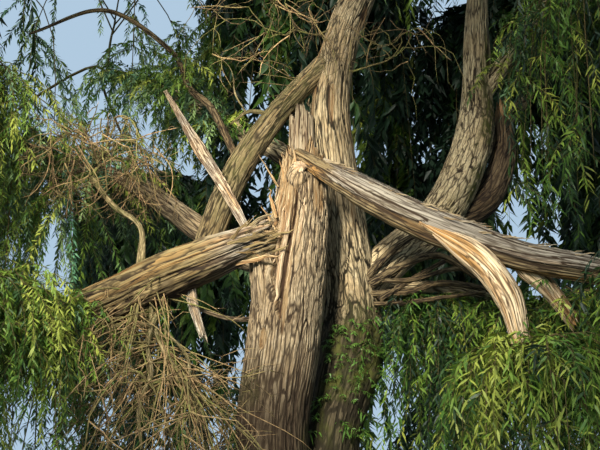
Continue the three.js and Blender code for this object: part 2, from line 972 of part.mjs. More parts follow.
// A weeping twig: it climbs from the stem, arches over and hangs to near the floor
function twigPoints(mass, stem, i, count, random) {
  const heart = heartOf(mass);
  const start = linePoint(stem, 1 - (TWIGGED_SHARE * (count - i - 0.5)) / count).place;
  const angle = GOLDEN_ANGLE * i + 0.7 * random();
  const out = new THREE.Vector3(Math.cos(angle), Math.sin(angle), 0);
  const reach = mass.reach * METRE * (0.62 + 0.33 * random());
  const rise = mass.rise * METRE * (0.55 + 0.4 * random());
  const drop = heart.z - mass.floor * METRE;
  const crest = start.clone().lerp(heart, 0.5).addScaledVector(out, reach * 0.4);
  crest.z = Math.min(Math.max(start.z, heart.z) + rise * 0.9, heart.z + mass.rise * METRE * 0.96);
  const shoulder = heart.clone().addScaledVector(out, reach * 0.85);
  shoulder.z = heart.z + rise * 0.2;
  const tip = heart.clone().addScaledVector(out, reach);
  tip.z = heart.z - drop * (mass.bare ? 0.35 + 0.6 * random() : 0.82 + 0.16 * random());
  return [
    [...start.toArray(), TWIG_RADIUS * 0.7],
    [...crest.toArray(), TWIG_RADIUS],
    [...shoulder.toArray(), TWIG_RADIUS],
    [...tip.toArray(), TWIG_TIP_RADIUS],
  ];
}

// The share of a twig that stays in the mass's space, once it has entered it, and clear of every limb
function clearShare(points, mass, obstacles) {
  const samples = samplesAlong(points, mass.name, linePoint);
  let entered = false;
  for (let i = 1; i < samples.length; i++) {
    const { place } = samples[i];
    const inside = inSpace(place, mass);
    const blocked = touches(place, LIMB_MARGIN, obstacles, mass.name);
    if (blocked || (entered && !inside)) return (i - 1) / (samples.length - 1);
    entered ||= inside;
    if (!entered && i > ENTRY_SHARE * samples.length) return 0;
  }
  return 1;
}

// The rings of a twig's first share
function twigRings(points, share) {
  const whole = points.filter((_, i) => i < share * (points.length - 1) - 0.05);
  const { place, radius } = linePoint(points, share);
  const kept = [...whole, [...place.toArray(), radius]];
  return tubeRings(kept, kept.length - 1);
}

// A three-sided tube
const tubeSolid = (rings) =>
  loft(rings.map((ring) => ringVertices(ring, 3, 0, 1)), rings[0].place, rings.at(-1).place);

// One flat eight-faced blade, which stands for a spray of narrow leaves
function leafVertices(foot, heading, flat, length) {
  const wide = foot.clone().addScaledVector(heading, length * 0.4);
  const over = heading.clone().cross(flat);
  return [
    foot,
    foot.clone().addScaledVector(heading, length),
    wide.clone().addScaledVector(flat, LEAF_WIDTH / 2),
    wide.clone().addScaledVector(flat, -LEAF_WIDTH / 2),
    wide.clone().addScaledVector(over, LEAF_THICKNESS / 2),
    wide.clone().addScaledVector(over, -LEAF_THICKNESS / 2),
  ];
}

// A blade fits where points all over it are in the mass's space and clear of limbs and stems
function bladeFits(foot, heading, flat, length, mass, obstacles) {
  for (let along = 0.15; along <= 1; along += 0.085) {
    const half = (LEAF_WIDTH / 2) * Math.min(along / 0.4, (1 - along) / 0.6);
    for (const aside of [-half, 0, half]) {
      const point = foot.clone().addScaledVector(heading, length * along).addScaledVector(flat, aside);
      if (!inSpace(point, mass) || touches(point, LIMB_MARGIN, obstacles, mass.name)) return false;
    }
  }
  return true;
}

const LEAF_FACES = [0, 2, 5, 0, 5, 3, 0, 3, 4, 0, 4, 2, 1, 5, 2, 1, 3, 5, 1, 4, 3, 1, 2, 4];

// Leaves sit along the straight stretches between a twig's rings. One that fits no way round is skipped.
function leavesOn(rings, mass, obstacles, random) {
  const solids = [];
  const share = Math.min(mass.reach / FULL_REACH, 1);
  for (let i = 1; i < rings.length; i++) {
    const [low, high] = [rings[i - 1], rings[i]];
    const count = Math.round(low.place.distanceTo(high.place) / (LEAF_SPACING * share));
    const along = high.place.clone().sub(low.place).normalize();
    for (let j = 0; j < count; j++) {
      const place = low.place.clone().lerp(high.place, (j + 0.3 + 0.4 * random()) / count);
      const turn = 2 * Math.PI * random();
      const length = LEAF_LENGTH * share * (0.75 + 0.25 * random());
      for (let k = 0; k < LEAF_TRIES; k++) {
        const angle = turn + GOLDEN_ANGLE * k;
        const aside = new THREE.Vector3(Math.cos(angle), Math.sin(angle), 0);
        const heading = along.clone().multiplyScalar(0.5).addScaledVector(aside, LEAF_SPLAY);
        heading.z -= LEAF_DROOP;
        heading.normalize();
        const flat = aside.clone().cross(heading).normalize();
        if (!bladeFits(place, heading, flat, length, mass, obstacles)) continue;
        solids.push(solidFrom(leafVertices(place, heading, flat, length), LEAF_FACES));
        break;
      }
    }
  }
  return solids;
}

// A mass is one solid, cut clear of the limb that carries it
function growMass(mass, seed, obstacles, carrier) {
  const stem = stemLine(mass);
  const solids = [tubeSolid(tubeRings(stem, STEM_SPANS, stemStart(mass).heading))];
  const count = mass.bare ? BARE_TWIGS : LEAFY_TWIGS;
  for (let i = 0; i < count; i++) {
    const random = seededNumbers(seed * SEEDS_PER_MASS + i);
    const points = twigPoints(mass, stem, i, count, random);
    const share = clearShare(points, mass, obstacles);
    if (share < 0.3) continue;
    const rings = twigRings(points, share);
    solids.push(tubeSolid(rings));
    if (!mass.bare) solids.push(...leavesOn(rings, mass, obstacles, random));
  }
  return largest(wasm.Manifold.union(solids).subtract(carrier.cutter).simplify(SLIVER));
}

// Colours, roughness
const BARK = new THREE.MeshStandardMaterial({ color: 0x8a7458, roughness: 0.95, metalness: 0 });
const TORN_WOOD = new THREE.MeshStandardMaterial({ color: 0xb08a5c, roughness: 0.85, metalness: 0 });
const DEAD_WOOD = new THREE.MeshStandardMaterial({ color: 0x9a8563, roughness: 0.9, metalness: 0 });
const LEAVES = new THREE.MeshStandardMaterial({ color: 0x5c7a2e, roughness: 0.6, metalness: 0 });
const TORN_LIMBS = [
  "torn_prong",
  "back_slab",
  "left_bough",
  "fallen_bough",
  "fallen_prong_front",
  "fallen_prong_back",
  "left_stub",
  "standing_splinter",
];

function meshFrom(name, solid, material) {
  const { numProp, vertProperties, triVerts } = solid.getMesh();
  const geometry = new THREE.BufferGeometry();
  geometry.setAttribute("position", new THREE.BufferAttribute(vertProperties, numProp));
  geometry.setIndex(new THREE.BufferAttribute(triVerts, 1));
  geometry.computeVertexNormals();
  const mesh = new THREE.Mesh(geometry, material);
  mesh.name = name;
  return mesh;
}

const tree = new THREE.Group();
const limbs = growLimbs();
for (const { name, solid } of limbs) {
  tree.add(meshFrom(name, solid, TORN_LIMBS.includes(name) ? TORN_WOOD : BARK));
}
const obstacles = [
  ...LIMBS.flatMap((limb) => samplesAlong(scaled(limb.through), limb.name, curvePoint)),
  ...MASSES.flatMap((mass) => samplesAlong(stemLine(mass), mass.name, linePoint)),
];
MASSES.forEach((mass, i) => {
  const carrier = limbs.find((each) => each.name === mass.limb);
  const solid = growMass(mass, FIRST_MASS_SEED + i, obstacles, carrier);
  tree.add(meshFrom(mass.name, solid, mass.bare ? DEAD_WOOD : LEAVES));
});

export default tree;
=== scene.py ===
# A storm-broken weeping willow, dressed on its packed limbs and masses: bark, torn wood, twigs and leaves.
# Metres, +Z up. The open, broken side faces -Y, and the origin is at ground level under the trunk.
import math
import bpy
import numpy as np
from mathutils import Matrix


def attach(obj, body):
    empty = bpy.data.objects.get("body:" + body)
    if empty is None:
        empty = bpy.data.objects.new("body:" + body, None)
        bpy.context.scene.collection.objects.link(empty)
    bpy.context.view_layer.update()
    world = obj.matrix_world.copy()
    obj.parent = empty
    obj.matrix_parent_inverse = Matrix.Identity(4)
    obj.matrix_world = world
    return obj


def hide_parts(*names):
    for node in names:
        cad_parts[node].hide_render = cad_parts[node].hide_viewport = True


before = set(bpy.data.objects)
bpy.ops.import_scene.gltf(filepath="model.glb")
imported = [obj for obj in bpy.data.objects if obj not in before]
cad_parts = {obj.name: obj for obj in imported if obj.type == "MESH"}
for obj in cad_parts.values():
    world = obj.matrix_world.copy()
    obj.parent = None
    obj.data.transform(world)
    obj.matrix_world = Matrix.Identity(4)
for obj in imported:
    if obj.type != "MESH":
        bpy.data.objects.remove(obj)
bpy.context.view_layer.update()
bpy.ops.object.select_all(action="DESELECT")

# The camera stands eight metres in front of the broken side at eye height and looks up into the fork.
# Its lens takes in the middle four metres of the tree, as the photograph does.
bpy.ops.object.camera_add(location=(-0.1, -8.0, 1.6), rotation=(math.radians(106), 0, 0))
camera = bpy.context.object
camera.data.sensor_width = 36
camera.data.lens = 18 / math.tan(math.radians(17.5))
camera.data.clip_end = 400
bpy.context.scene.camera = camera

# The trunk is a short, wide bole on root buttresses, cut flat at the ground, that forks near head height.
# Its bark is a sheet rolled round it, with long interlaced ridges between deep fissures. It is one piece.
# Each level gives its middle, its half width and its half depth.
trunk_levels = [
    (0.0, 0.0, 0.0, 0.62, 0.54),
    (0.0, 0.0, 0.12, 0.61, 0.53),
    (-0.01, 0.01, 0.3, 0.6, 0.51),
    (-0.03, 0.04, 0.55, 0.58, 0.48),
    (-0.06, 0.09, 0.95, 0.57, 0.46),
    (-0.09, 0.14, 1.35, 0.56, 0.44),
    (-0.11, 0.17, 1.65, 0.5, 0.38),
    (-0.12, 0.18, 1.85, 0.34, 0.24),
]
limb_points = {}


def smooth_line(points, shares):
    """Places and radii along the smooth curve through [x, y, z, radius] points, at shares from 0 to 1."""
    points = np.array(points, float)
    padded = np.vstack([2 * points[0] - points[1], points, 2 * points[-1] - points[-2]])
    at = np.clip(np.asarray(shares, float), 0, 1) * (len(points) - 1)
    low = np.minimum(at.astype(int), len(points) - 2)
    part = (at - low)[:, None]
    a, b, c, d = (padded[low + k] for k in range(4))
    slope_in, slope_out, step = (c - a) / 2, (d - b) / 2, c - b
    curve = b + slope_in * part + (3 * step - 2 * slope_in - slope_out) * part**2
    curve = curve + (slope_in + slope_out - 2 * step) * part**3
    return curve[:, :3], (b + step * part)[:, 3]


def headings_of(places):
    """The unit direction of a line at each of its places."""
    heading = np.gradient(places, axis=0)
    return heading / np.linalg.norm(heading, axis=1, keepdims=True)


def carried_across(heading):
    """A direction across each heading, carried along without twist, and the one square to both."""
    start = np.array([0.0, 1, 0]) if abs(heading[0][0]) > 0.7 else np.array([1.0, 0, 0])
    across = []
    for direction in heading:
        start = start - direction * start.dot(direction)
        start = start / np.linalg.norm(start)
        across.append(start)
    across = np.array(across)
    return across, np.cross(heading, across)


def cloud(points, size, seed):
    """Smooth noise from 0 to 1, in lumps of the given size."""
    table = np.random.default_rng(seed).random((32, 32, 32))
    at = points / np.asarray(size, float)
    low = np.floor(at).astype(int)
    part = at - low
    part = part * part * (3 - 2 * part)
    total = 0
    for corner in np.ndindex(2, 2, 2):
        index = (low + corner) % 32
        weight = np.where(corner, part, 1 - part).prod(axis=-1)
        total = total + weight * table[index[..., 0], index[..., 1], index[..., 2]]
    return total


def eased(value, low, high):
    """0 up to low, 1 from high on, and smooth between."""
    part = np.clip((value - low) / (high - low), 0, 1)
    return part * part * (3 - 2 * part)


class Limb:
    """Rows of points that run round a limb from foot to tip, and over the broken end where it has one."""

    def __init__(self, name, points, width, depth=1.0, stretch=2.0, pit=0.0, teeth=0.0, inner=2, seed=0):
        self.name = name
        limb_points[name] = points
        shares = np.linspace(0, 1, 200)
        length = np.linalg.norm(np.diff(smooth_line(points, shares)[0], axis=0), axis=1).sum()
        columns = max(8, round(2 * math.pi * max(p[3] for p in points) / width))
        rows = max(4, round(length / (width * stretch)))
        outside = np.linspace(0, 1, rows + 1)
        place, radius = smooth_line(points, outside)
        heading = headings_of(place)
        across, over = carried_across(heading)
        # The end rows run inwards from the rim to the middle, and the foot has a middle too.
        shrink = np.concatenate([[0], np.ones(rows + 1), np.linspace(1, 0, inner + 1)[1:]])
        pick = np.concatenate([[0], np.arange(rows + 1), np.full(inner, rows)])
        self.turn, self.share = np.meshgrid(np.linspace(0, 1, columns + 1), outside[pick])
        self.shrink = np.repeat(shrink[:, None], columns + 1, axis=1)
        self.columns, self.rows = columns, len(pick) - 1
        self.along = self.share * length
        angle = 2 * math.pi * self.turn
        out = across[pick][:, None] * np.cos(angle)[..., None]
        out = out + over[pick][:, None] * np.sin(angle)[..., None]
        back = np.array([0, 1.0, 0]) - heading[pick] * heading[pick][:, 1:2]
        back = back / np.linalg.norm(back, axis=1, keepdims=True)
        squash = (out * back[:, None]).sum(-1, keepdims=True) * (depth - 1)
        self.out = out + squash * back[:, None]
        self.middle = place[pick][:, None]
        self.radius = radius[pick][:, None]
        self.heading = heading[pick][:, None]
        mean = float(np.mean(radius))
        self.grain = np.stack([mean * np.cos(angle), mean * np.sin(angle), self.along], axis=-1)
        # The rim of a broken end stands up in teeth, and falls to a pit in the middle.
        around = np.stack([np.cos(angle), np.sin(angle), 0 * angle], axis=-1)
        tooth = cloud(around, 0.35, seed + 5) ** 2 + 0.5 * cloud(around, 0.12, seed + 6)
        near_rim = eased(self.along, length - 3 * teeth - 1e-6, length)
        sunk = np.where(self.share == 1, 1 - self.shrink, 0)
        fibres = cloud(around * self.shrink[..., None] + 3, (0.13, 0.13, 1), seed + 7)
        self.inside = np.where((self.share == 1) & (self.shrink < 1), 1.0, 0.0)
        self.inside[0] = 0
        self.lift = teeth * tooth * near_rim * (1 - sunk) - pit * sunk**0.6 + pit * 0.7 * fibres * self.inside

    def twisted(self, tilt, size, run, bend):
        """The grain's coordinates in cells of a size round the limb and a run along it, on a slant."""
        mean = math.hypot(self.grain[1, 0, 0], self.grain[1, 0, 1])
        angle = 2 * math.pi * self.turn + (tilt * self.along + bend) / mean
        wide = max(1.0, size * 3 / mean)
        aside, over = mean * np.cos(angle) / size * wide, mean * np.sin(angle) / size * wide
        return np.stack([aside, over, self.along / run], -1)

    def line_gap(self, level, size):
        """How far each place is from the lines where a level is zero, in cells of that size."""
        mean = math.hypot(self.grain[1, 0, 0], self.grain[1, 0, 1])
        slope = abs(np.gradient(level, axis=1)) * self.columns * size / (2 * math.pi * mean)
        return abs(level) / np.maximum(slope, 0.22)

    def facing(self):
        """How far each place is turned from the open side, in degrees, with the right side positive."""
        return np.degrees(np.arctan2(self.out[..., 0], -self.out[..., 1]))

    def upward(self):
        """1 on top of a level limb and -1 under it."""
        return self.out[..., 2] / np.linalg.norm(self.out, axis=-1)

    def relief(self, spacing=0.05, run=0.3, depth=0.018, seed=0):
        """Bark: ridges that part and meet between long fissures. Gives its height and the fissures' depth."""
        sway = self.grain / np.array([1, 1, 2.5])
        bend = (cloud(sway, 4 * spacing, seed) - 0.5) * 1.4 * spacing
        bend = bend + (cloud(sway, 1.6 * spacing, seed + 1) - 0.5) * 0.6 * spacing
        nearest = 1.0
        for tilt, which in ((0.055, 2), (-0.055, 3)):
            level = cloud(self.twisted(tilt, 1.5 * spacing, 1.5 * run, bend), 1, seed + which)
            nearest = np.minimum(nearest, self.line_gap(level - 0.5, 1.5 * spacing))
        fine = abs(cloud(self.twisted(0.0, 0.6 * spacing, run, bend), 1, seed + 4) - 0.5)
        strength = 0.45 + 0.55 * eased(cloud(sway, 2.5 * spacing, seed + 5), 0.3, 0.65)
        crack = (1 - eased(nearest, 0.02, 0.13)) * strength
        ridge = eased(nearest, 0.0, 0.17)
        height = depth * (strength * (ridge - 1) - 0.3 * (1 - eased(fine, 0.0, 0.1)) * ridge)
        height += 0.3 * depth * (cloud(self.grain / np.array([1, 1, 5]), 0.4 * spacing, seed + 6) - 0.5)
        return height, np.clip(crack + 0.4 * (1 - eased(fine, 0.0, 0.08)), 0, 1)

    def strips(self, spacing=0.05, run=0.9, depth=0.02, seed=0):
        """Torn wood: long strips at their own levels, with finer ones on them and cracks beside them."""
        sway = self.grain / np.array([1, 1, 5])
        bend = (cloud(sway, 0.2, seed) - 0.5) * 1.2 * spacing
        height, crack = 0, 0
        for size, share, which in ((1.5, 1.0, 1), (0.55, 0.42, 2)):
            level = 5 * cloud(self.twisted(0.02, size * spacing, size * run, bend), 1, seed + which)
            part = level - np.floor(level)
            height = height + share * depth * ((np.floor(level) + eased(part, 0.0, 0.35)) / 4 - 0.75)
            edge = self.line_gap(np.where(part > 0.5, part - 1, part) - 0.05, size * spacing)
            crack = np.maximum(crack, (0.3 + 0.7 * share) * (1 - eased(edge, 0.03, 0.13)))
        height = height - 0.5 * depth * crack
        height += 0.2 * depth * (cloud(self.grain / np.array([1, 1, 14]), 0.012, seed + 3) - 0.5)
        return height, np.clip(crack, 0, 1)

    def facets(self, amount=0.1, size=0.2, seed=0):
        """A limb isn't round: broad flats and swellings, as a share of its radius."""
        return amount * 2 * (cloud(self.grain / np.array([1, 1, 3.5]), size, seed) - 0.5)

    def make(self, height, **masks):
        """Rolls a sheet round the limb at that height, closes its seam and ends, and keeps masks on it."""
        reach = (self.radius * (1 + 0 * self.turn) + height) * self.shrink
        place = self.middle + self.out * reach[..., None] + self.heading * self.lift[..., None]
        bpy.ops.object.select_all(action="DESELECT")
        bpy.ops.mesh.primitive_grid_add(x_subdivisions=self.columns, y_subdivisions=self.rows, size=1)
        sheet = bpy.context.object
        sheet.name = self.name + "_bark"
        flat = np.zeros(len(sheet.data.vertices) * 3)
        sheet.data.vertices.foreach_get("co", flat)
        flat = flat.reshape(-1, 3)
        column = np.rint((flat[:, 0] + 0.5) * self.columns).astype(int)
        row = np.rint((flat[:, 1] + 0.5) * self.rows).astype(int)
        sheet.data.vertices.foreach_set("co", place[row, column].ravel())
        straight = sheet.data.attributes.new("grain", "FLOAT_VECTOR", "POINT")
        straight.data.foreach_set("vector", self.grain[row, column].ravel())
        for mask, values in masks.items():
            kept = sheet.data.attributes.new(mask, "FLOAT", "POINT")
            kept.data.foreach_set("value", (values + 0 * self.turn)[row, column].ravel())
        bpy.ops.object.mode_set(mode="EDIT")
        bpy.ops.mesh.select_all(action="SELECT")
        bpy.ops.mesh.remove_doubles(threshold=1e-5)
        bpy.ops.object.mode_set(mode="OBJECT")
        bpy.ops.object.shade_smooth()
        return sheet


class Shade:
    """A socket of a material's nodes. Plain arithmetic on it adds Math nodes, and node() adds any other."""

    def __init__(self, tree, socket=None):
        self.tree = tree
        self.socket = socket

    def node(self, kind, settings, inputs, output=0):
        made = self.tree.nodes.new(kind)
        for setting, value in settings.items():
            setattr(made, setting, value)
        for name, value in inputs.items():
            if isinstance(value, Shade):
                self.tree.links.new(value.socket, made.inputs[name])
            else:
                made.inputs[name].default_value = value
        return Shade(self.tree, made.outputs[output] if made.outputs else None)

    def math(self, operation, first, second):
        return self.node("ShaderNodeMath", {"operation": operation}, {0: first, 1: second})

    def __add__(self, other):
        return self.math("ADD", self, other)

    def __radd__(self, other):
        return self.math("ADD", other, self)

    def __sub__(self, other):
        return self.math("SUBTRACT", self, other)

    def __rsub__(self, other):
        return self.math("SUBTRACT", other, self)

    def __mul__(self, other):
        return self.math("MULTIPLY", self, other)

    def __rmul__(self, other):
        return self.math("MULTIPLY", other, self)

    def away(self, level):
        """How far it is from a level."""
        return self.math("ABSOLUTE", self - level, 0.0)

    def eased(self, low, high):
        """0 up to low, 1 from high on, and smooth between."""
        ends = {"Value": self, "From Min": low, "From Max": high}
        return self.node("ShaderNodeMapRange", {"interpolation_type": "SMOOTHSTEP"}, ends)

    def tint(self, dark, light):
        """The colour at this share of the way from one colour to another."""
        ends = {0: self, 6: dark, 7: light}
        return self.node("ShaderNodeMix", {"data_type": "RGBA"}, ends, output=2)

    def stretched(self, scale):
        """This vector with each axis scaled by its own number."""
        return self.node("ShaderNodeVectorMath", {"operation": "MULTIPLY"}, {0: self, 1: scale})

    def mottle(self, scale, detail=3.0):
        """Noise from 0 to 1 at this place."""
        return self.node("ShaderNodeTexNoise", {}, {"Vector": self, "Scale": scale, "Detail": detail})

    def warped(self, amount, scale):
        """This vector, pushed about by noise."""
        push = self.node("ShaderNodeTexNoise", {}, {"Vector": self, "Scale": scale, "Detail": 2.0}, output=1)
        sockets = {0: push, 1: (amount, amount, amount), 2: self}
        return self.node("ShaderNodeVectorMath", {"operation": "MULTIPLY_ADD"}, sockets)

    def cells(self, scale):
        """How far this place is from the edge of its cell, in a net of cells."""
        feature = {"feature": "DISTANCE_TO_EDGE"}
        return self.node("ShaderNodeTexVoronoi", feature, {"Vector": self, "Scale": scale})

    def mask(self, name):
        """A value that is kept on the mesh."""
        return self.node("ShaderNodeAttribute", {"attribute_name": name}, {}, output=2)

    def grain(self):
        """The place along the straightened limb."""
        return self.node("ShaderNodeAttribute", {"attribute_name": "grain"}, {}, output=1)


def new_material(name):
    """An empty material, and the start of its nodes."""
    material = bpy.data.materials.new(name)
    material.use_nodes = True
    material.node_tree.nodes.clear()
    return material, Shade(material.node_tree)


def finish_material(start, colour, roughness, height, distance):
    """Ends a material in one Principled surface with a bump."""
    bump = start.node("ShaderNodeBump", {}, {"Height": height, "Distance": distance, "Strength": 0.8})
    sockets = {"Base Color": colour, "Roughness": roughness, "Normal": bump, "Specular IOR Level": 0.25}
    surface = start.node("ShaderNodeBsdfPrincipled", {}, sockets)
    start.node("ShaderNodeOutputMaterial", {}, {"Surface": surface})


def bark_material(name, ridge, furrow, moss_colour=(0.062, 0.066, 0.013, 1), wood=(0.25, 0.185, 0.1, 1)):
    """Willow bark: tan-grey ridges, brown furrows, moss in patches, and torn wood where the bark is gone."""
    material, start = new_material(name)
    grain = start.grain()
    place = start.node("ShaderNodeTexCoord", {}, {}, output=3)
    streaks = grain.stretched((1, 1, 0.1)).mottle(34.0, 4.0)
    fibres = grain.stretched((1, 1, 0.07)).mottle(95.0, 3.0)
    flakes = grain.stretched((1, 1, 0.4)).mottle(30.0, 5.0)
    broad = place.mottle(2.6, 3.0)
    plates = grain.warped(0.03, 7.0).stretched((1, 1, 0.1)).cells(27.0)
    line = plates.eased(0.0, 0.12)
    flecks = grain.stretched((1, 1, 0.3)).mottle(85.0, 4.0)
    hair = fibres.away(0.5).eased(0.0, 0.09)
    warm = (ridge[0] * 0.62, ridge[1] * 0.52, ridge[2] * 0.42, 1)
    grey = (ridge[0] * 1.05, ridge[1] * 1.1, ridge[2] * 1.2, 1)
    tan = (broad.eased(0.4, 0.62) * 0.6 + flakes.eased(0.45, 0.7) * 0.4).tint(ridge, warm)
    tan = (flakes.eased(0.5, 0.64) * 0.7).tint(tan, grey)
    speck = (ridge[0] * 0.45, ridge[1] * 0.42, ridge[2] * 0.38, 1)
    tan = (0.25 + 0.75 * flecks.eased(0.34, 0.56)).tint(speck, tan)
    thread = (ridge[0] * 0.3, ridge[1] * 0.27, ridge[2] * 0.24, 1)
    lined = (0.45 + 0.55 * hair).tint(thread, tan)
    lined = (0.1 + 0.9 * line).tint(furrow, lined)
    # The crack mask turns the bark to the furrow colour; on some limbs it also carries painted shade.
    furrowed = start.mask("crack").eased(0.08, 0.8).tint(lined, furrow)
    deep_moss = (moss_colour[0] * 0.45, moss_colour[1] * 0.5, moss_colour[2] * 0.6, 1)
    green = flakes.eased(0.35, 0.65).tint(deep_moss, moss_colour)
    covered = start.mask("moss") * broad.eased(0.3, 0.5) * (0.35 + 0.65 * flakes.eased(0.38, 0.55))
    mossy = covered.tint(furrowed, green)
    pale = (wood[0] * 1.25, wood[1] * 1.3, wood[2] * 1.4, 1)
    rust = (wood[0] * 0.62, wood[1] * 0.48, wood[2] * 0.36, 1)
    fibre = grain.stretched((1, 1, 0.03)).mottle(60.0, 4.0)
    torn = fibre.eased(0.38, 0.56).tint(rust, wood)
    torn = streaks.eased(0.5, 0.64).tint(torn, pale)
    torn = (0.25 + 0.75 * hair).tint(rust, torn)
    torn = start.mask("crack").eased(0.15, 0.9).tint(torn, (0.034, 0.018, 0.009, 1))
    colour = start.mask("torn").eased(0.3, 0.7).tint(mossy, torn)
    height = 0.55 * line + 0.2 * hair + 0.3 * flakes + 0.3 * flecks
    finish_material(start, colour, 0.84 + 0.14 * flakes, height, 0.012)
    return material


def dress(piece, material, slot, *nodes):
    """Gives a piece its finish, hangs it from the root and hides the model's parts that it stands for."""
    piece.data.materials.append(material)
    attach(piece, "root")
    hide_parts(*nodes)


trunk_bark = bark_material("trunk_bark", (0.34, 0.27, 0.165, 1), (0.03, 0.019, 0.011, 1))
trunk = Limb("trunk", [(x, y, z, wide) for x, y, z, wide, deep in trunk_levels], 0.019, stretch=1.0, inner=12)
angle = 2 * math.pi * trunk.turn
flare = 0
roots = 7
for root in range(roots):
    toward = 2 * math.pi * root / roots + 0.3 * math.sin(root * 2.4)
    away = np.arctan2(np.sin(angle - toward), np.cos(angle - toward))
    flare = flare + np.exp(-((away / 0.3) ** 2))
levels = np.array(trunk_levels)
level_heights = levels[:, 2]
trunk_height = trunk.middle[..., 2] + 0 * angle
lean = [np.interp(trunk_height, level_heights, levels[:, k]) for k in (0, 1)]
trunk.middle = np.stack(lean + [trunk_height], -1)
half_width = np.interp(trunk_height, level_heights, levels[:, 3])
half_depth = np.interp(trunk_height, level_heights, levels[:, 4])
flare_share, flare_rise = 0.42, 0.3
share = 1 + flare_share * flare * np.exp(-trunk_height / flare_rise)
trunk.out = np.stack([np.cos(angle), np.sin(angle) * half_depth / half_width, 0 * angle], axis=-1)
trunk.radius = half_width * share
trunk.heading = np.array([0.0, 0.0, 1.0])
bark_height, bark_crack = trunk.relief(spacing=0.045, run=0.4, depth=0.024, seed=11)
bark_height += trunk.radius * trunk.facets(0.03, 0.3, 12)
on_side = eased(trunk_height, 0.0, 0.02) * trunk.shrink
green = eased(cloud(trunk.grain, 0.35, 13), 0.5, 0.75) * eased(-np.sin(angle), -0.2, 0.9) * 0.5
trunk_sheet = trunk.make(bark_height * on_side, crack=bark_crack, moss=green, torn=0)
dress(trunk_sheet, trunk_bark, "bark", "trunk")

# The front stem leans left out of the fork and was snapped off by the storm. Its bark is torn open down the
# front into a deep cleft of pale strips, its top stands up in splinters, and a cut knob sits beside them.
front_points = [
    (-0.27, 0.04, 1.2, 0.32),
    (-0.34, -0.02, 2.1, 0.3),
    (-0.25, -0.08, 2.85, 0.31),
    (-0.18, -0.12, 3.4, 0.3),
    (-0.1, -0.15, 3.95, 0.25),
    (-0.08, -0.18, 4.34, 0.2),
]


def joined_mesh(name, vertices, faces):
    """Triangles from arrays as one piece."""
    mesh = bpy.data.meshes.new(name)
    mesh.vertices.add(len(vertices))
    mesh.vertices.foreach_set("co", np.ascontiguousarray(vertices, np.float32).ravel())
    mesh.loops.add(faces.size)
    mesh.loops.foreach_set("vertex_index", np.ascontiguousarray(faces, np.int32).ravel())
    mesh.polygons.add(len(faces))
    mesh.polygons.foreach_set("loop_start", np.arange(0, faces.size, 3, dtype=np.int32))
    mesh.update(calc_edges=True)
    mesh.validate()
    piece = bpy.data.objects.new(name, mesh)
    bpy.context.collection.objects.link(piece)
    return piece


def unit(vectors):
    """The same directions, one long."""
    return vectors / np.maximum(np.linalg.norm(vectors, axis=-1, keepdims=True), 1e-9)


def joined_tubes(name, lines, radii, sides, flat=1.0, grained=False):
    """Many tapering tubes as one piece: a line of places and radii for each, that ends in a point."""
    count, steps = radii.shape
    heading = unit(np.gradient(lines, axis=1))
    across = unit(np.cross(heading, np.array([0.31, 0.89, 0.33])))
    over = np.cross(heading, across)
    angle = 2 * math.pi * np.arange(sides) / sides
    ring = across[:, :-1, None] * np.cos(angle)[:, None]
    ring = ring + over[:, :-1, None] * (flat * np.sin(angle))[:, None]
    rings = lines[:, :-1, None] + ring * radii[:, :-1, None, None]
    vertices = np.concatenate([rings.reshape(count, -1, 3), lines[:, -1:]], axis=1)
    template = []
    for row in range(steps - 2):
        for k in range(sides):
            a, b = row * sides + k, row * sides + (k + 1) % sides
            template += [(a, b, b + sides), (a, b + sides, a + sides)]
    top, tip = (steps - 2) * sides, (steps - 1) * sides
    template += [(top + k, top + (k + 1) % sides, tip) for k in range(sides)]
    template += [(0, k + 1, k) for k in range(1, sides - 1)]
    faces = np.array(template) + (tip + 1) * np.arange(count)[:, None, None]
    piece = joined_mesh(name, vertices.reshape(-1, 3), faces.reshape(-1, 3))
    piece.data.shade_smooth()
    if grained:
        # The straightened place of each vertex, with each tube set apart from the next.
        step = np.linalg.norm(np.diff(lines, axis=1, prepend=lines[:, :1]), axis=2).cumsum(1)
        round_it = np.stack([np.cos(angle), np.sin(angle)], -1)[None, None] * radii[:, :-1, None, None]
        along = np.broadcast_to(step[:, :-1, None, None], (count, steps - 1, sides, 1))
        grain = np.concatenate([round_it, along], -1).reshape(count, -1, 3)
        end = np.concatenate([np.zeros((count, 1, 2)), step[:, -1:, None]], -1)
        grain = np.concatenate([grain, end], 1) + 0.7 * np.arange(count)[:, None, None]
        kept = piece.data.attributes.new("grain", "FLOAT_VECTOR", "POINT")
        kept.data.foreach_set("vector", grain.astype(np.float32).ravel())
    return piece


def splinters(name, feet, headings, lengths, widths, seed, flat=0.4, bend=0.12):
    """Long tapering splinters of torn wood, each a little bent."""
    rng = np.random.default_rng(seed)
    taper = np.array([1.0, 1.0, 0.92, 0.8, 0.6, 0.36, 0.0])
    steps = np.linspace(0, 1, len(taper))
    aside = unit(np.cross(headings, rng.normal(size=headings.shape)))
    sway = aside[:, None] * (np.sin(steps * 2.2) * steps)[None, :, None] * (lengths * bend)[:, None, None]
    kink = rng.normal(0, 0.03, (len(feet), len(taper), 3)) * (lengths[:, None] * steps)[..., None]
    lines = feet[:, None] + headings[:, None] * (lengths[:, None] * steps)[..., None] + sway + kink
    rough = 1 + 0.2 * rng.normal(size=(len(feet), len(taper)))
    piece = joined_tubes(name, lines, widths[:, None] * taper * rough, 5, flat, grained=True)
    piece.data.shade_flat()
    return piece


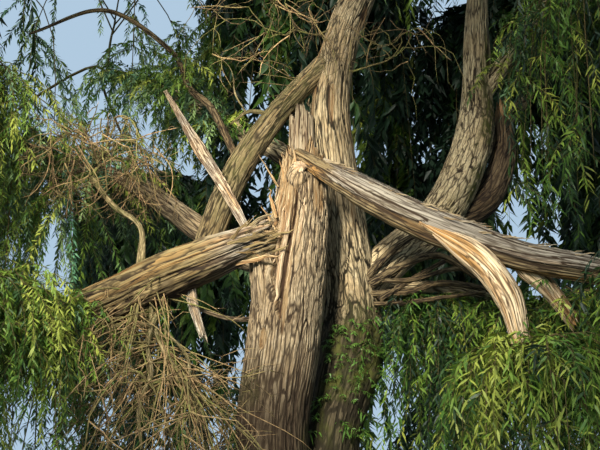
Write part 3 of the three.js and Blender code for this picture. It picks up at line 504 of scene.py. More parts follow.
def torn_material(name, pale, tan, crack, grey=0.0):
    """Torn willow wood: long fibres from pale to rusty, with cracks, greyed by weather."""
    material, start = new_material(name)
    place = start.node("ShaderNodeTexCoord", {}, {}, output=3)
    grain = start.grain()
    fibre = grain.stretched((1, 1, 0.03)).mottle(70.0, 4.0)
    band = grain.stretched((1, 1, 0.07)).mottle(22.0, 3.0)
    split = grain.warped(0.02, 6.0).stretched((1, 1, 0.05)).cells(46.0)
    broad = place.mottle(3.0, 2.0)
    rust = (tan[0] * 0.7, tan[1] * 0.52, tan[2] * 0.36, 1)
    wood = fibre.eased(0.38, 0.6).tint(tan, pale)
    wood = (band.eased(0.5, 0.62) * 0.75).tint(wood, rust)
    weather = (start.mask("grey") + (broad.eased(0.45, 0.65) * grey)).eased(0.15, 0.7)
    silver = fibre.eased(0.36, 0.6).tint((0.14, 0.12, 0.095, 1), (0.3, 0.27, 0.215, 1))
    wood = (weather * (0.6 + 0.4 * band.eased(0.3, 0.5))).tint(wood, silver)
    wood = (start.mask("warm") * band.eased(0.4, 0.56)).tint(wood, (0.4, 0.2, 0.05, 1))
    hair = split.eased(0.0, 0.13)
    wood = (0.3 + 0.7 * hair).tint(crack, wood)
    # The crack mask turns the wood to the crack colour; on the left bough it also carries painted shade.
    colour = start.mask("crack").eased(0.1, 0.85).tint(wood, crack)
    finish_material(start, colour, 0.8 + 0.15 * band, fibre * 0.6 + hair * 0.5 + band * 0.3, 0.01)
    return material


stem_bark = bark_material("stem_bark", (0.37, 0.295, 0.185, 1), (0.03, 0.019, 0.01, 1))
front = Limb("front_stem", front_points, 0.0078, pit=0.18, teeth=0.2, inner=14, seed=21)
facing = front.facing()
high = front.middle[..., 2] + front.lift
ragged = 9 * (cloud(front.grain, (0.03, 0.03, 0.16), 22) - 0.5)
ragged = ragged + 5 * (cloud(front.grain, (0.01, 0.01, 0.08), 23) - 0.5)
right_edge = np.interp(high, [2.85, 3.4, 3.95, 4.5], [4, 2, -3, -6]) + ragged
left_edge = np.interp(high, [2.85, 3.1, 3.4, 3.95, 4.5], [4, -18, -40, -72, -96]) + ragged
opened = eased(facing - left_edge, -2, 3) * eased(right_edge - facing, -2, 3) * eased(high, 2.84, 2.9)
shoulder = eased(facing, 22, 30) * eased(-facing, -62, -52) * eased(high + ragged / 60, 3.85, 4.05)
scar_far = np.hypot((facing + 31 + ragged / 3) / 7, (high - 2.84) / 0.1)
scar = 1 - eased(scar_far, 0.8, 1.05)
rim = np.maximum(eased(high, 4.2, 4.36), front.inside)
torn = np.clip(np.maximum.reduce([opened, 0.8 * shoulder, scar, rim]), 0, 1)
bark_height, bark_crack = front.relief(spacing=0.038, run=0.38, depth=0.018, seed=24)
strip_height, strip_crack = front.strips(spacing=0.045, run=1.3, depth=0.03, seed=25)
cleft = np.exp(-(((facing + 11 + ragged / 3) / 4.5) ** 2))
cleft = cleft * eased(high, 2.9, 3.1) * (1 - eased(high, 4.0, 4.3))
board = eased(-facing, 14, 18) * opened * (1 - eased(high, 3.75, 4.0))
hollow = np.exp(-(((facing + 15) / 3.5) ** 2) - ((high - 3.19) / 0.05) ** 2)
seam = opened * (1 - eased(facing - left_edge, 0, 16)) * (1 - eased(high, 3.6, 3.8))
wood_height = strip_height - 0.022 - 0.075 * cleft - 0.035 * board - 0.06 * hollow - 0.03 * seam
front_height = bark_height * (1 - torn) + wood_height * torn + front.radius * front.facets(0.05, 0.25, 26)
# The cleft, the hole and the groove beside the prong are darkened through the crack mask: painted shade in
# these hollows.
front_crack_and_shade = np.maximum(bark_crack * (1 - torn) + strip_crack * torn, 0.95 * cleft * opened)
front_crack_and_shade = np.maximum.reduce([front_crack_and_shade, hollow, 0.8 * seam])
# The bark also darkens towards the foot, partly as the foot's own darker bark, partly as painted shade.
front_crack_and_shade = np.clip(front_crack_and_shade + 0.58 * (1 - eased(high, 2.2, 3.1)), 0, 1)
moss = 0.35 * eased(cloud(front.grain, 0.3, 27), 0.55, 0.8) * eased(-high, -2.9, -2.2)
front_sheet = front.make(front_height * (1 - front.inside), crack=front_crack_and_shade, torn=torn, moss=moss)
dress(front_sheet, stem_bark, "bark", "front_stem")

rng = np.random.default_rng(31)
rim_count = 34
rim_angle = rng.uniform(0, 2 * math.pi, rim_count)
rim_share = rng.uniform(0.45, 1.0, rim_count)
rim_out = np.stack([np.cos(rim_angle), np.sin(rim_angle), 0 * rim_angle], -1)
rim_feet = np.array([-0.08, -0.18, 4.2]) + rim_out * (0.19 * rim_share)[:, None]
rim_heading = unit(np.array([0.03, -0.05, 1.0]) + rim_out * rng.uniform(-0.05, 0.3, rim_count)[:, None])
rim_long = rng.uniform(0.14, 0.34, rim_count)
rim_wide = rng.uniform(0.01, 0.03, rim_count)
top_splinters = splinters("front_stem_splinters", rim_feet, rim_heading, rim_long, rim_wide, 32)
wood_crack = (0.06, 0.034, 0.015, 1)
splinter_wood = torn_material("splinter_wood", (0.42, 0.31, 0.17, 1), (0.28, 0.18, 0.08, 1), wood_crack)
dress(top_splinters, splinter_wood, "torn_wood")

# Boards of pale wood stand up in the torn face, split along the grain and rooted at its foot. Each is a
# flattened tube that follows the face. A row gives how far it is turned, and its foot's and top's heights.
board_rows = [
    (-22, 3.13, 3.98),
    (-30, 3.3, 4.2),
    (-41, 3.45, 4.05),
    (-55, 3.75, 4.24),
    (-3, 3.2, 3.9),
    (8, 3.6, 4.12),
]
face = front.middle + front.out * (front.radius * front.shrink + front_height)[..., None]
board_taper = np.array([0.2, 0.6, 0.9, 1, 1, 0.95, 0.9, 0.95, 0.85, 0.6, 0.35, 0])
board_lines = []
for turned, foot_high, top_high in board_rows:
    column = abs(facing[front.rows // 3] - turned).argmin()
    between = (high[:, column] > foot_high) & (high[:, column] < top_high)
    rows = np.argwhere(between & (front.inside[:, column] == 0))[:, 0]
    board_lines.append(face[rows[np.linspace(0, len(rows) - 1, len(board_taper)).astype(int)], column])
board_lines = np.array(board_lines)
board_lines = board_lines + np.random.default_rng(37).normal(0, 0.002, board_lines.shape)
board_radii = np.array([0.027, 0.014, 0.018, 0.012, 0.011, 0.01])[:, None] * board_taper
boards = joined_tubes("front_stem_boards", board_lines, board_radii, 7, 0.8, grained=True)
board_wood = torn_material("board_wood", (0.44, 0.34, 0.22, 1), (0.31, 0.22, 0.12, 1), wood_crack)
dress(boards, board_wood, "torn_wood")

# A short knob beside the torn top, where a branch was once cut, with bark round it, a pale end and a hole
# beside the cut, darkened with painted shade. It isn't a limb that foliage keeps clear of, so its line is
# dropped once it is made.
knob_points = [
    (-0.1, -0.18, 4.12, 0.09),
    (-0.1, -0.33, 4.23, 0.115),
    (-0.094, -0.4, 4.275, 0.085),
    (-0.09, -0.43, 4.29, 0.06),
]
knob = Limb("front_knob", knob_points, 0.007, inner=8, seed=34)
spot = knob.middle + knob.out * (knob.radius * knob.shrink)[..., None]
hole = np.exp(-((spot[..., 0] + 0.03) ** 2 + (spot[..., 2] - 4.25) ** 2) / 0.026**2)
hole = hole * eased(-spot[..., 1], 0.3, 0.38)
knob_height, knob_crack_and_shade = knob.relief(spacing=0.03, run=0.12, depth=0.012, seed=35)
knob_height = knob_height - 0.05 * hole + 0.12 * knob.radius * (cloud(knob.grain, 0.05, 36) - 0.5)
cut_end = np.maximum(knob.inside, eased(knob.share, 0.86, 0.95))
knob_bark = bark_material(
    "knob_bark", (0.46, 0.36, 0.22, 1), (0.032, 0.02, 0.011, 1), wood=(0.5, 0.4, 0.27, 1))
# The hole is darkened through the crack mask: painted shade.
knob_crack_and_shade = np.clip(np.maximum(knob_crack_and_shade * (1 - cut_end), hole * 1.3), 0, 1)
knob_height = knob_height * (1 - knob.inside)
knob_sheet = knob.make(knob_height, crack=knob_crack_and_shade, torn=cut_end * (1 - hole), moss=0)
dress(knob_sheet, knob_bark, "bark")
limb_points.pop("front_knob")

# The back stem leaves the fork behind the front one, swells into a mossy burl and climbs into the crown.
# Its bark is darker at the foot, in painted shade, and bare in patches higher up.
back_points = [
    (0.08, 0.28, 1.2, 0.3),
    (0.17, 0.34, 2.1, 0.25),
    (0.34, 0.42, 2.85, 0.28),
    (0.35, 0.45, 3.4, 0.24),
    (0.28, 0.44, 4.1, 0.22),
    (0.19, 0.4, 5.1, 0.19),
    (0.3, 0.42, 5.85, 0.175),
    (0.52, 0.46, 6.5, 0.165),
    (0.78, 0.5, 7.3, 0.15),
]
back_bark = bark_material("back_stem_bark", (0.48, 0.39, 0.235, 1), (0.017, 0.013, 0.006, 1))
back = Limb("back_stem", back_points, 0.0112, seed=41)
facing = back.facing()
high = back.middle[..., 2] + 0 * facing
burl = np.exp(-(((facing - 62) / 38) ** 2) - ((high - 2.75) / 0.42) ** 2)
knot = np.exp(-(((facing + 35) / 24) ** 2) - ((high - 5.72) / 0.16) ** 2)
bark_height, bark_crack = back.relief(spacing=0.04, run=0.38, depth=0.016, seed=42)
knobbly = (cloud(back.grain, 0.09, 43) - 0.5) * 0.07 + (cloud(back.grain, 0.035, 44) - 0.5) * 0.03
back_height = bark_height * (1 - 0.5 * burl) + burl * (0.03 + knobbly) + knot * (0.04 + 0.6 * knobbly)
back_height += back.radius * back.facets(0.06, 0.3, 45)
# Painted shade: the crack mask is raised towards the foot, so the bark there darkens as if shaded.
bark_crack = np.clip(bark_crack + 0.6 * (1 - eased(high, 2.8, 3.7)), 0, 1)
patches = eased(cloud(back.grain, 0.16, 46), 0.25, 0.6)
moss = patches * eased(high, 1.7, 2.5) * eased(-high, -3.5, -2.7)
moss = moss * eased(np.cos(np.radians(facing - 20)), 0.1, 0.8)
bare = eased(cloud(back.grain, (0.09, 0.09, 0.5), 47), 0.72, 0.8) * eased(high, 3.6, 4.2) * 0.7
back_sheet = back.make(back_height, crack=bark_crack, torn=bare, moss=moss)
dress(back_sheet, back_bark, "bark", "back_stem")

# Young shoots start from the moss on the burl. Their leaves come with the rest of the foliage.
places = back.middle + back.out * (back.radius + back_height)[..., None]
ready = np.argwhere((moss > 0.45) & (abs(facing) < 80))
rng = np.random.default_rng(48)
shoot_count = 110
chosen = ready[rng.integers(0, len(ready), shoot_count)]
shoot_feet = places[chosen[:, 0], chosen[:, 1]]
shoot_out = back.out[chosen[:, 0], chosen[:, 1]] + rng.normal(0, 0.4, (shoot_count, 3))
shoot_out = unit(shoot_out + np.array([0, 0, 0.5]))
shoot_long = rng.uniform(0.05, 0.15, shoot_count)[:, None, None]
bend = np.linspace(0, 1, 5)[None, :, None]
shoots = shoot_feet[:, None] + shoot_long * (shoot_out[:, None] * bend - np.array([0, 0, 0.5]) * bend**2)

# A broken slab still stands against the back stem's left side, split off by the same storm, all grey wood.
# The torn prong on the left of the front stem keeps its bark between the peeled strips.
slab_points = [(0.1, 0.35, 4.0, 0.13), (-0.05, 0.3, 4.55, 0.13), (-0.07, 0.29, 4.95, 0.12)]
slab = Limb("back_slab", slab_points, 0.01, pit=0.05, teeth=0.14, inner=10, seed=51)
strip_height, strip_crack = slab.strips(spacing=0.04, run=0.8, depth=0.02, seed=52)
grey_wood = torn_material(
    "slab_wood", (0.36, 0.29, 0.18, 1), (0.24, 0.18, 0.1, 1), (0.04, 0.024, 0.012, 1), grey=0.5)
slab_height = strip_height + slab.radius * slab.facets(0.1, 0.12, 53)
slab_sheet = slab.make(slab_height, crack=strip_crack, grey=0.35, warm=0)
dress(slab_sheet, grey_wood, "torn_wood", "back_slab")

prong_points = [(-0.26, -0.1, 2.75, 0.16), (-0.38, -0.22, 3.25, 0.13), (-0.44, -0.26, 3.7, 0.07)]
prong = Limb("torn_prong", prong_points, 0.01, pit=0.05, teeth=0.12, inner=10, seed=54)
strip_height, strip_crack = prong.strips(spacing=0.05, run=1.2, depth=0.03, seed=55)
bark_height, bark_crack = prong.relief(spacing=0.05, run=0.4, depth=0.014, seed=56)
peeled = eased(cloud(prong.grain, (0.06, 0.06, 0.4), 57), 0.42, 0.56)
prong_height = strip_height * peeled + bark_height * (1 - peeled)
prong_crack = strip_crack * peeled + bark_crack * (1 - peeled)
prong_torn = np.maximum(0.45 * peeled, prong.inside)
prong_sheet = prong.make(prong_height, crack=prong_crack, torn=prong_torn, moss=0)
dress(prong_sheet, stem_bark, "bark", "torn_prong")

# The fallen bough hangs from the top of the front stem down to the right, where it forks into two prongs.
# It was split lengthways, so its upper face is weathered silver and its lower face is fresh ochre wood.
fallen_points = [
    (2.6, -1.1, 3.1, 0.07),
    (2.1, -1.0, 3.26, 0.09),
    (1.6, -0.88, 3.4, 0.115),
    (1.0, -0.72, 3.67, 0.15),
    (0.5, -0.57, 3.97, 0.13),
    (0.14, -0.43, 4.24, 0.09),
    (-0.12, -0.36, 4.42, 0.05),
]
front_prong_points = [
    (0.85, -0.76, 3.7, 0.1),
    (1.27, -0.86, 3.38, 0.105),
    (1.47, -0.95, 3.05, 0.1),
    (1.53, -1.0, 2.72, 0.06),
]
back_prong_points = [(1.5, -0.82, 3.42, 0.09), (1.8, -0.76, 3.2, 0.085), (2.0, -0.74, 2.92, 0.06)]
prong_wood = torn_material("prong_wood", (0.84, 0.67, 0.44, 1), (0.68, 0.52, 0.31, 1), (0.1, 0.06, 0.03, 1))
fallen_wood = torn_material(
    "fallen_wood", (0.21, 0.165, 0.088, 1), (0.14, 0.1, 0.045, 1), (0.03, 0.018, 0.009, 1))
# Each part's points, its broken end, how silvered it is, how long its strips run, and its wood.
fallen_parts = {
    "fallen_bough": (fallen_points, dict(depth=0.8, pit=0.04, teeth=0.08, inner=8), 0.85, 2.0, fallen_wood),
    "fallen_prong_front": (front_prong_points, dict(pit=0.03, teeth=0.09, inner=6), 0.1, 0.7, prong_wood),
    "fallen_prong_back": (back_prong_points, dict(pit=0.03, teeth=0.09, inner=6), 0.25, 0.7, prong_wood),
}
for index, (name, (points, broken_end, silvered, run, wood)) in enumerate(fallen_parts.items()):
    seed = 61 + 10 * index
    limb = Limb(name, points, 0.009, seed=seed, **broken_end)
    strip_height, strip_crack = limb.strips(spacing=0.05, run=run, depth=0.022, seed=seed + 1)
    edge = limb.upward() + 0.5 * (cloud(limb.grain, (0.05, 0.05, 0.5), seed + 2) - 0.5)
    silver = eased(edge, -0.62, -0.4) * silvered
    if name == "fallen_bough":
        silver = silver * eased(-limb.share + 0.08 * cloud(limb.grain, (0.03, 0.03, 0.2), 75), -0.82, -0.72)
    split = np.exp(-(((edge + 0.5) / 0.07) ** 2)) * silvered
    warm = eased(-edge, -0.1, 0.5) * eased(cloud(limb.grain, (0.08, 0.08, 0.4), seed + 3), 0.35, 0.6)
    if name == "fallen_bough":
        warm = warm * 0.5
        strip_height = strip_height * (1 - 0.6 * silver) + 0.012 * silver
    else:
        warm = np.maximum(warm, 0.8 * eased(cloud(limb.grain, (0.08, 0.08, 0.35), 65 + index), 0.4, 0.6))
    height = strip_height - 0.03 * split + limb.radius * limb.facets(0.14, 0.16, seed + 5)
    if name != "fallen_bough":
        height = height - 0.7 * strip_height - 0.75 * limb.radius * (1 - eased(limb.share, 0.0, 0.3))
        strip_crack = strip_crack * 0.8
    crack = np.maximum(strip_crack, 0.9 * split)
    sheet = limb.make(height, crack=crack, grey=silver * 0.9, warm=warm)
    dress(sheet, wood, "torn_wood", name)

# Short flakes of grey wood stand off the fallen bough's upper side, where it was split from the stem. They
# root in its surface and point along it.
rng = np.random.default_rng(78)
flake_count = 56
flake_share = rng.uniform(0.12, 0.9, flake_count)
flake_feet, flake_radius = smooth_line(fallen_points, flake_share)
flake_along = unit(flake_feet - smooth_line(fallen_points, flake_share + 0.02)[0])
flake_out = unit(np.array([0, -0.5, 0.9]) + rng.normal(0, 0.25, (flake_count, 3)))
flake_feet = flake_feet + flake_out * (0.88 * flake_radius)[:, None]
flake_heading = unit(flake_along + 0.25 * flake_out)
flake_long = rng.uniform(0.06, 0.2, flake_count)
flake_wide = rng.uniform(0.004, 0.011, flake_count)
flakes = splinters("fallen_bough_splinters", flake_feet, flake_heading, flake_long, flake_wide, 79)
dress(flakes, grey_wood, "torn_wood")

# The left bough was wrenched off the front stem and lies out to the left, streaked along its grain. Its torn
# end points back at the stem in a brush of fibres. A pale stub and a standing splinter are left beside it.
left_points = [
    (-2.2, -0.68, 2.62, 0.09),
    (-1.9, -0.6, 2.93, 0.14),
    (-1.55, -0.54, 3.13, 0.175),
    (-1.2, -0.48, 3.32, 0.19),
    (-0.85, -0.42, 3.49, 0.17),
    (-0.5, -0.33, 3.66, 0.11),
]
left_wood = torn_material(
    "left_bough_wood", (0.22, 0.168, 0.076, 1), (0.135, 0.098, 0.04, 1), (0.02, 0.012, 0.006, 1), grey=0.35)
left = Limb("left_bough", left_points, 0.0095, depth=0.8, pit=0.08, teeth=0.2, inner=12, seed=91)
strip_height, strip_crack = left.strips(spacing=0.042, run=2.2, depth=0.05, seed=92)
upward = left.upward()
warm = eased(upward + 0.9 * (cloud(left.grain, (0.07, 0.07, 0.3), 93) - 0.5), 0.2, 0.9) * 0.4
dry = eased(left.share, 0.62, 0.95) * 0.6
left_height = strip_height + 0.012 + left.radius * left.facets(0.2, 0.14, 94)
# Painted shade: the underside of the bough is darkened through the crack mask.
shade = 0.5 * (1 - eased(upward, -0.8, -0.3))
vein_height, vein_crack = left.relief(spacing=0.03, run=0.7, depth=0.01, seed=88)
left_height = left_height + vein_height
left_crack_and_shade = np.clip(np.maximum(strip_crack, 0.85 * vein_crack) + shade, 0, 1)
left_sheet = left.make(left_height, crack=left_crack_and_shade, warm=warm, grey=dry)
dress(left_sheet, left_wood, "torn_wood", "left_bough")

rng = np.random.default_rng(95)
brush_count = 84
tip, tip_radius = smooth_line(left_points, rng.uniform(0.86, 1.0, brush_count))
brush_angle = rng.uniform(0, 2 * math.pi, brush_count)
brush_out = np.stack([-0.35 * np.sin(brush_angle), 0.75 * np.cos(brush_angle), np.sin(brush_angle)], -1)
brush_feet = tip + brush_out * (tip_radius * rng.uniform(0.2, 0.95, brush_count))[:, None]
brush_spread = rng.uniform(-0.05, 0.35, brush_count)[:, None]
brush_heading = unit(np.array([0.86, 0.12, 0.34]) + brush_out * brush_spread)
brush_heading = unit(brush_heading + rng.normal(0, 0.09, brush_heading.shape))
brush_long = rng.uniform(0.12, 0.42, brush_count)
brush_wide = rng.uniform(0.006, 0.022, brush_count)
brush = splinters("left_bough_splinters", brush_feet, brush_heading, brush_long, brush_wide, 96, bend=0.2)
dress(brush, left_wood, "torn_wood")

# The longest strips lie between the torn end and the front stem, and pale sticks lean against its torn face.
# They are splinters too, each set by its foot, its tip and its width, and a thin branch grows below them.
strip_rows = np.array([
    (-0.7, -0.37, 3.68, -0.26, -0.36, 3.75, 0.02),
    (-0.56, -0.4, 3.63, -0.34, -0.42, 3.63, 0.009),
    (-0.66, -0.4, 3.44, -0.22, -0.42, 3.53, 0.02),
    (-0.72, -0.36, 3.6, -0.4, -0.42, 3.5, 0.018),
    (-0.62, -0.3, 3.72, -0.4, -0.3, 3.78, 0.014),
    (-0.31, -0.3, 3.77, -0.44, -0.33, 4.0, 0.012),
    (-0.29, -0.2, 4.18, -0.48, -0.3, 4.46, 0.01),
    (-0.3, -0.32, 3.86, -0.36, -0.3, 4.16, 0.018),
])
strip_feet, strip_tips, strip_wide = strip_rows[:, :3], strip_rows[:, 3:6], strip_rows[:, 6]
strip_long = np.linalg.norm(strip_tips - strip_feet, axis=1)
strip_heading = unit(strip_tips - strip_feet)
long_strips = splinters(
    "left_bough_strips", strip_feet, strip_heading, strip_long, strip_wide, 97, flat=0.5, bend=0.04)
dress(long_strips, splinter_wood, "torn_wood")
side_points = [(-0.45, 0.0, 3.06, 0.024), (-0.7, -0.1, 3.05, 0.02), (-0.98, -0.12, 3.13, 0.013)]
side_branch = Limb("side_branch", side_points, 0.007, seed=98)
bark_height, bark_crack = side_branch.relief(spacing=0.02, run=0.15, depth=0.003, seed=99)
dress(side_branch.make(bark_height, crack=bark_crack, torn=0, moss=0), stem_bark, "bark")
limb_points.pop("side_branch")

# A pale stub hangs under the left bough, and a long flat splinter of the same tear stands up from its end.
# Both are bare wood in fine strips, the splinter weathered grey. The stub's pale wood is partly its own
# colour and partly painted light, brighter where the bough shades it.
stub_points = [(-1.02, -0.4, 3.4, 0.045), (-0.97, -0.38, 3.12, 0.045), (-0.9, -0.36, 2.9, 0.03)]
blade_points = [
    (-0.5, -0.26, 3.68, 0.03),
    (-0.74, -0.2, 4.15, 0.05),
    (-0.97, -0.2, 4.52, 0.06),
    (-1.29, -0.25, 5.06, 0.012),
]
pale_wood = torn_material(
    "pale_wood", (0.42, 0.34, 0.23, 1), (0.3, 0.22, 0.13, 1), (0.06, 0.036, 0.02, 1), grey=0.4)
# The stub's wood is pale of itself and brightened further with painted light.
stub_wood_with_painted_light = torn_material("stub_wood_with_painted_light", (0.72, 0.66, 0.52, 1), (0.52, 0.45, 0.33, 1), (0.12, 0.09, 0.06, 1))
for name, points, ends, wood, seed in (
    ("left_stub", stub_points, dict(pit=0.02, teeth=0.1, inner=6), stub_wood_with_painted_light, 101),
    ("standing_splinter", blade_points, dict(depth=0.5), pale_wood, 105),
):
    limb = Limb(name, points, 0.006, seed=seed, **ends)
    strip_height, strip_crack = limb.strips(spacing=0.03, run=0.5, depth=0.009, seed=seed + 1)
    warm = 0.5 * eased(cloud(limb.grain, (0.05, 0.05, 0.4), seed + 2), 0.5, 0.7)
    height = strip_height + limb.radius * limb.facets(0.12, 0.08, seed + 3)
    sheet = limb.make(height, crack=strip_crack, grey=0.3, warm=warm)
    dress(sheet, wood, "torn_wood", name)

# The living boughs and the boughs of the crown: one tapering limb each, in the same fissured bark. A row
# gives the sheet's cell width, the fissures' spacing and the points. Boughs of the open side have finer
# cells, because they are seen close.
living_boughs = {
    "right_stem": (0.0115, 0.045, [
        (0.35, 0.45, 3.3, 0.2), (0.76, 0.58, 3.74, 0.19), (1.16, 0.7, 4.1, 0.2), (1.47, 0.8, 4.6, 0.2),
        (1.65, 0.9, 5.15, 0.185), (1.72, 1.0, 5.75, 0.14), (1.82, 1.2, 6.8, 0.11),
        (2.1, 1.7, 8.3, 0.06)]),
    "right_fork": (0.014, 0.045, [
        (1.66, 0.94, 5.4, 0.1), (2.02, 1.0, 5.94, 0.085), (2.6, 1.1, 6.75, 0.075),
        (3.3, 1.15, 7.3, 0.07)]),
    "low_right_bough": (0.01, 0.045, [
        (0.35, 0.45, 3.25, 0.11), (0.8, 0.5, 3.4, 0.09), (1.3, 0.52, 3.42, 0.075),
        (1.75, 0.56, 3.32, 0.055)]),
    "left_far_bough": (0.016, 0.045, [
        (0.1, 0.42, 3.7, 0.15), (-0.45, 0.4, 3.68, 0.14), (-0.92, 0.4, 3.9, 0.13),
        (-1.7, 0.68, 4.5, 0.09), (-2.5, 0.9, 4.8, 0.075), (-3.7, 1.1, 5.4, 0.07)]),
    "leaning_bough": (0.011, 0.045, [
        (-0.95, 0.38, 3.8, 0.13), (-0.8, 0.3, 4.2, 0.13), (-0.62, 0.26, 4.58, 0.125),
        (-0.36, 0.26, 4.98, 0.11), (-0.1, 0.3, 5.32, 0.1), (0.16, 0.36, 5.62, 0.11)]),
    "arching_branch": (0.012, 0.03, [
        (-0.68, 0.34, 4.62, 0.04), (-0.95, 0.5, 5.2, 0.036), (-1.18, 0.6, 5.46, 0.034),
        (-1.39, 0.6, 5.87, 0.028), (-2.06, 0.6, 6.31, 0.022), (-2.8, 0.6, 6.05, 0.014)]),
    "hanging_branch": (0.008, 0.03, [
        (-1.3, -0.5, 3.15, 0.03), (-1.27, -0.52, 2.95, 0.03), (-1.16, -0.55, 2.7, 0.026),
        (-0.94, -0.57, 2.35, 0.022)]),
    "dead_branch": (0.008, 0.03, [
        (-1.4, -0.46, 3.4, 0.03), (-1.42, -0.42, 3.75, 0.028), (-1.66, -0.4, 3.95, 0.024),
        (-1.86, -0.4, 4.2, 0.02)]),
    "top_bough_centre": (0.03, 0.06, [
        (0.76, 0.5, 7.2, 0.13), (1.0, 0.5, 8.2, 0.11), (1.15, 0.45, 9.3, 0.08),
        (1.1, 0.5, 10.3, 0.055)]),
    "top_bough_left": (0.03, 0.06, [
        (0.74, 0.5, 7.05, 0.09), (0.1, 0.85, 8.0, 0.085), (-0.6, 1.15, 8.9, 0.07),
        (-1.1, 1.3, 9.3, 0.055)]),
    "top_bough_right": (0.03, 0.06, [
        (0.95, 0.48, 7.95, 0.085), (1.6, 0.1, 8.4, 0.08), (2.2, -0.5, 8.6, 0.07),
        (2.7, -1.0, 8.5, 0.07)]),
    "top_bough_front": (0.03, 0.06, [
        (0.9, 0.48, 7.75, 0.09), (0.75, -0.5, 8.4, 0.08), (0.6, -1.6, 8.7, 0.07),
        (0.5, -2.4, 8.55, 0.065)]),
    "left_front_bough": (0.03, 0.06, [
        (0.55, 0.47, 6.65, 0.09), (-0.5, 0.05, 7.2, 0.08), (-1.6, -0.7, 7.35, 0.07),
        (-2.5, -1.3, 7.1, 0.065)]),
    "back_bough": (0.025, 0.06, [
        (0.33, 0.45, 3.6, 0.14), (0.2, 1.6, 4.7, 0.12), (0.0, 2.7, 6.0, 0.09), (0.0, 3.4, 7.2, 0.065)]),
    "back_left_bough": (0.025, 0.06, [
        (0.25, 0.44, 4.4, 0.12), (-0.9, 1.3, 5.4, 0.1), (-1.8, 2.2, 6.2, 0.08),
        (-2.5, 2.9, 6.7, 0.07)]),
    "back_right_bough": (0.025, 0.06, [
        (0.95, 0.64, 3.9, 0.12), (1.6, 1.7, 4.8, 0.1), (2.2, 2.5, 5.7, 0.08), (2.8, 3.1, 6.5, 0.065)]),
}
living_bark = bark_material("living_bark", (0.63, 0.52, 0.31, 1), (0.03, 0.02, 0.011, 1))
rope_bark = bark_material("rope_bark", (0.21, 0.16, 0.085, 1), (0.016, 0.01, 0.006, 1))
leaning_bark = bark_material("leaning_bark", (0.27, 0.215, 0.112, 1), (0.02, 0.014, 0.007, 1))
dry_bark = bark_material("dry_branch_bark", (0.44, 0.36, 0.19, 1), (0.09, 0.07, 0.03, 1))
special_barks = {
    "hanging_branch": dry_bark,
    "dead_branch": dry_bark,
    "arching_branch": rope_bark,
    "left_far_bough": trunk_bark,
    "leaning_bough": leaning_bark,
}
for index, (name, (width, spacing, points)) in enumerate(living_boughs.items()):
    seed = 200 + 10 * index
    limb = Limb(name, points, width, seed=seed)
    radius = float(np.mean(limb.radius))
    bark_height, bark_crack = limb.relief(0.8 * spacing, 14 * spacing, min(0.014, 0.12 * radius), seed + 1)
    moss = 0
    if name in ("hanging_branch", "dead_branch"):
        bark_height = bark_height + limb.radius * limb.facets(0.45, 0.1, seed + 4)
        moss = 0.7 * eased(cloud(limb.grain, (0.06, 0.06, 0.12), seed + 2), 0.3, 0.6)
    if name == "right_stem":
        side = eased(np.cos(np.radians(limb.facing() - 65)), 0.3, 0.9)
        patches = eased(cloud(limb.grain, (0.1, 0.1, 0.4), seed + 2), 0.35, 0.6)
        moss = side * patches * eased(limb.share, 0.25, 0.4)
    if name == "leaning_bough":
        moss = 0.4 * eased(cloud(limb.grain, (0.1, 0.1, 0.4), seed + 2), 0.45, 0.7)
    height = bark_height + limb.radius * limb.facets(0.09, 0.25, seed + 3)
    sheet = limb.make(height, crack=bark_crack * 0.9, torn=0, moss=moss)
    dress(sheet, special_barks.get(name, living_bark), "bark", name)

# Small dead side branches: a snag and its twig on the leaning bough, and three mossy branches that hang
# crookedly under the left bough. They are too thin for foliage to keep clear of, so their lines are dropped.
snag_lines = [
    ("leaning_snag", [
        (-0.34, 0.24, 5.0, 0.024), (-0.47, 0.17, 5.03, 0.02), (-0.6, 0.16, 5.02, 0.017),
        (-0.74, 0.15, 4.9, 0.009)]),
    ("leaning_twig", [
        (-0.6, 0.16, 5.02, 0.012), (-0.7, 0.14, 5.2, 0.01), (-0.74, 0.1, 5.42, 0.007),
        (-0.9, 0.08, 5.6, 0.004)]),
    ("mossy_branch_0", [
        (-1.25, -0.52, 3.0, 0.026), (-1.29, -0.6, 2.75, 0.024), (-1.25, -0.63, 2.52, 0.022),
        (-1.33, -0.62, 2.25, 0.018), (-1.3, -0.6, 1.95, 0.012)]),
    ("mossy_branch_1", [
        (-1.26, -0.56, 2.9, 0.022), (-1.44, -0.62, 2.92, 0.018), (-1.6, -0.64, 2.86, 0.015),
        (-1.84, -0.62, 2.76, 0.007)]),
    ("mossy_branch_2", [
        (-1.18, -0.56, 2.88, 0.018), (-0.98, -0.62, 2.66, 0.017), (-0.93, -0.64, 2.4, 0.014),
        (-0.8, -0.62, 2.1, 0.008)]),
]
for index, (name, points) in enumerate(snag_lines):
    seed = 430 + 4 * index
    branch = Limb(name, points, 0.006, seed=seed)
    bark_height, bark_crack = branch.relief(spacing=0.02, run=0.2, depth=0.003, seed=seed + 1)
    bark_height += branch.radius * branch.facets(0.4, 0.07, seed + 2)
    dress(branch.make(bark_height, crack=bark_crack, torn=0, moss=0.5), dry_bark, "bark")
    limb_points.pop(name)

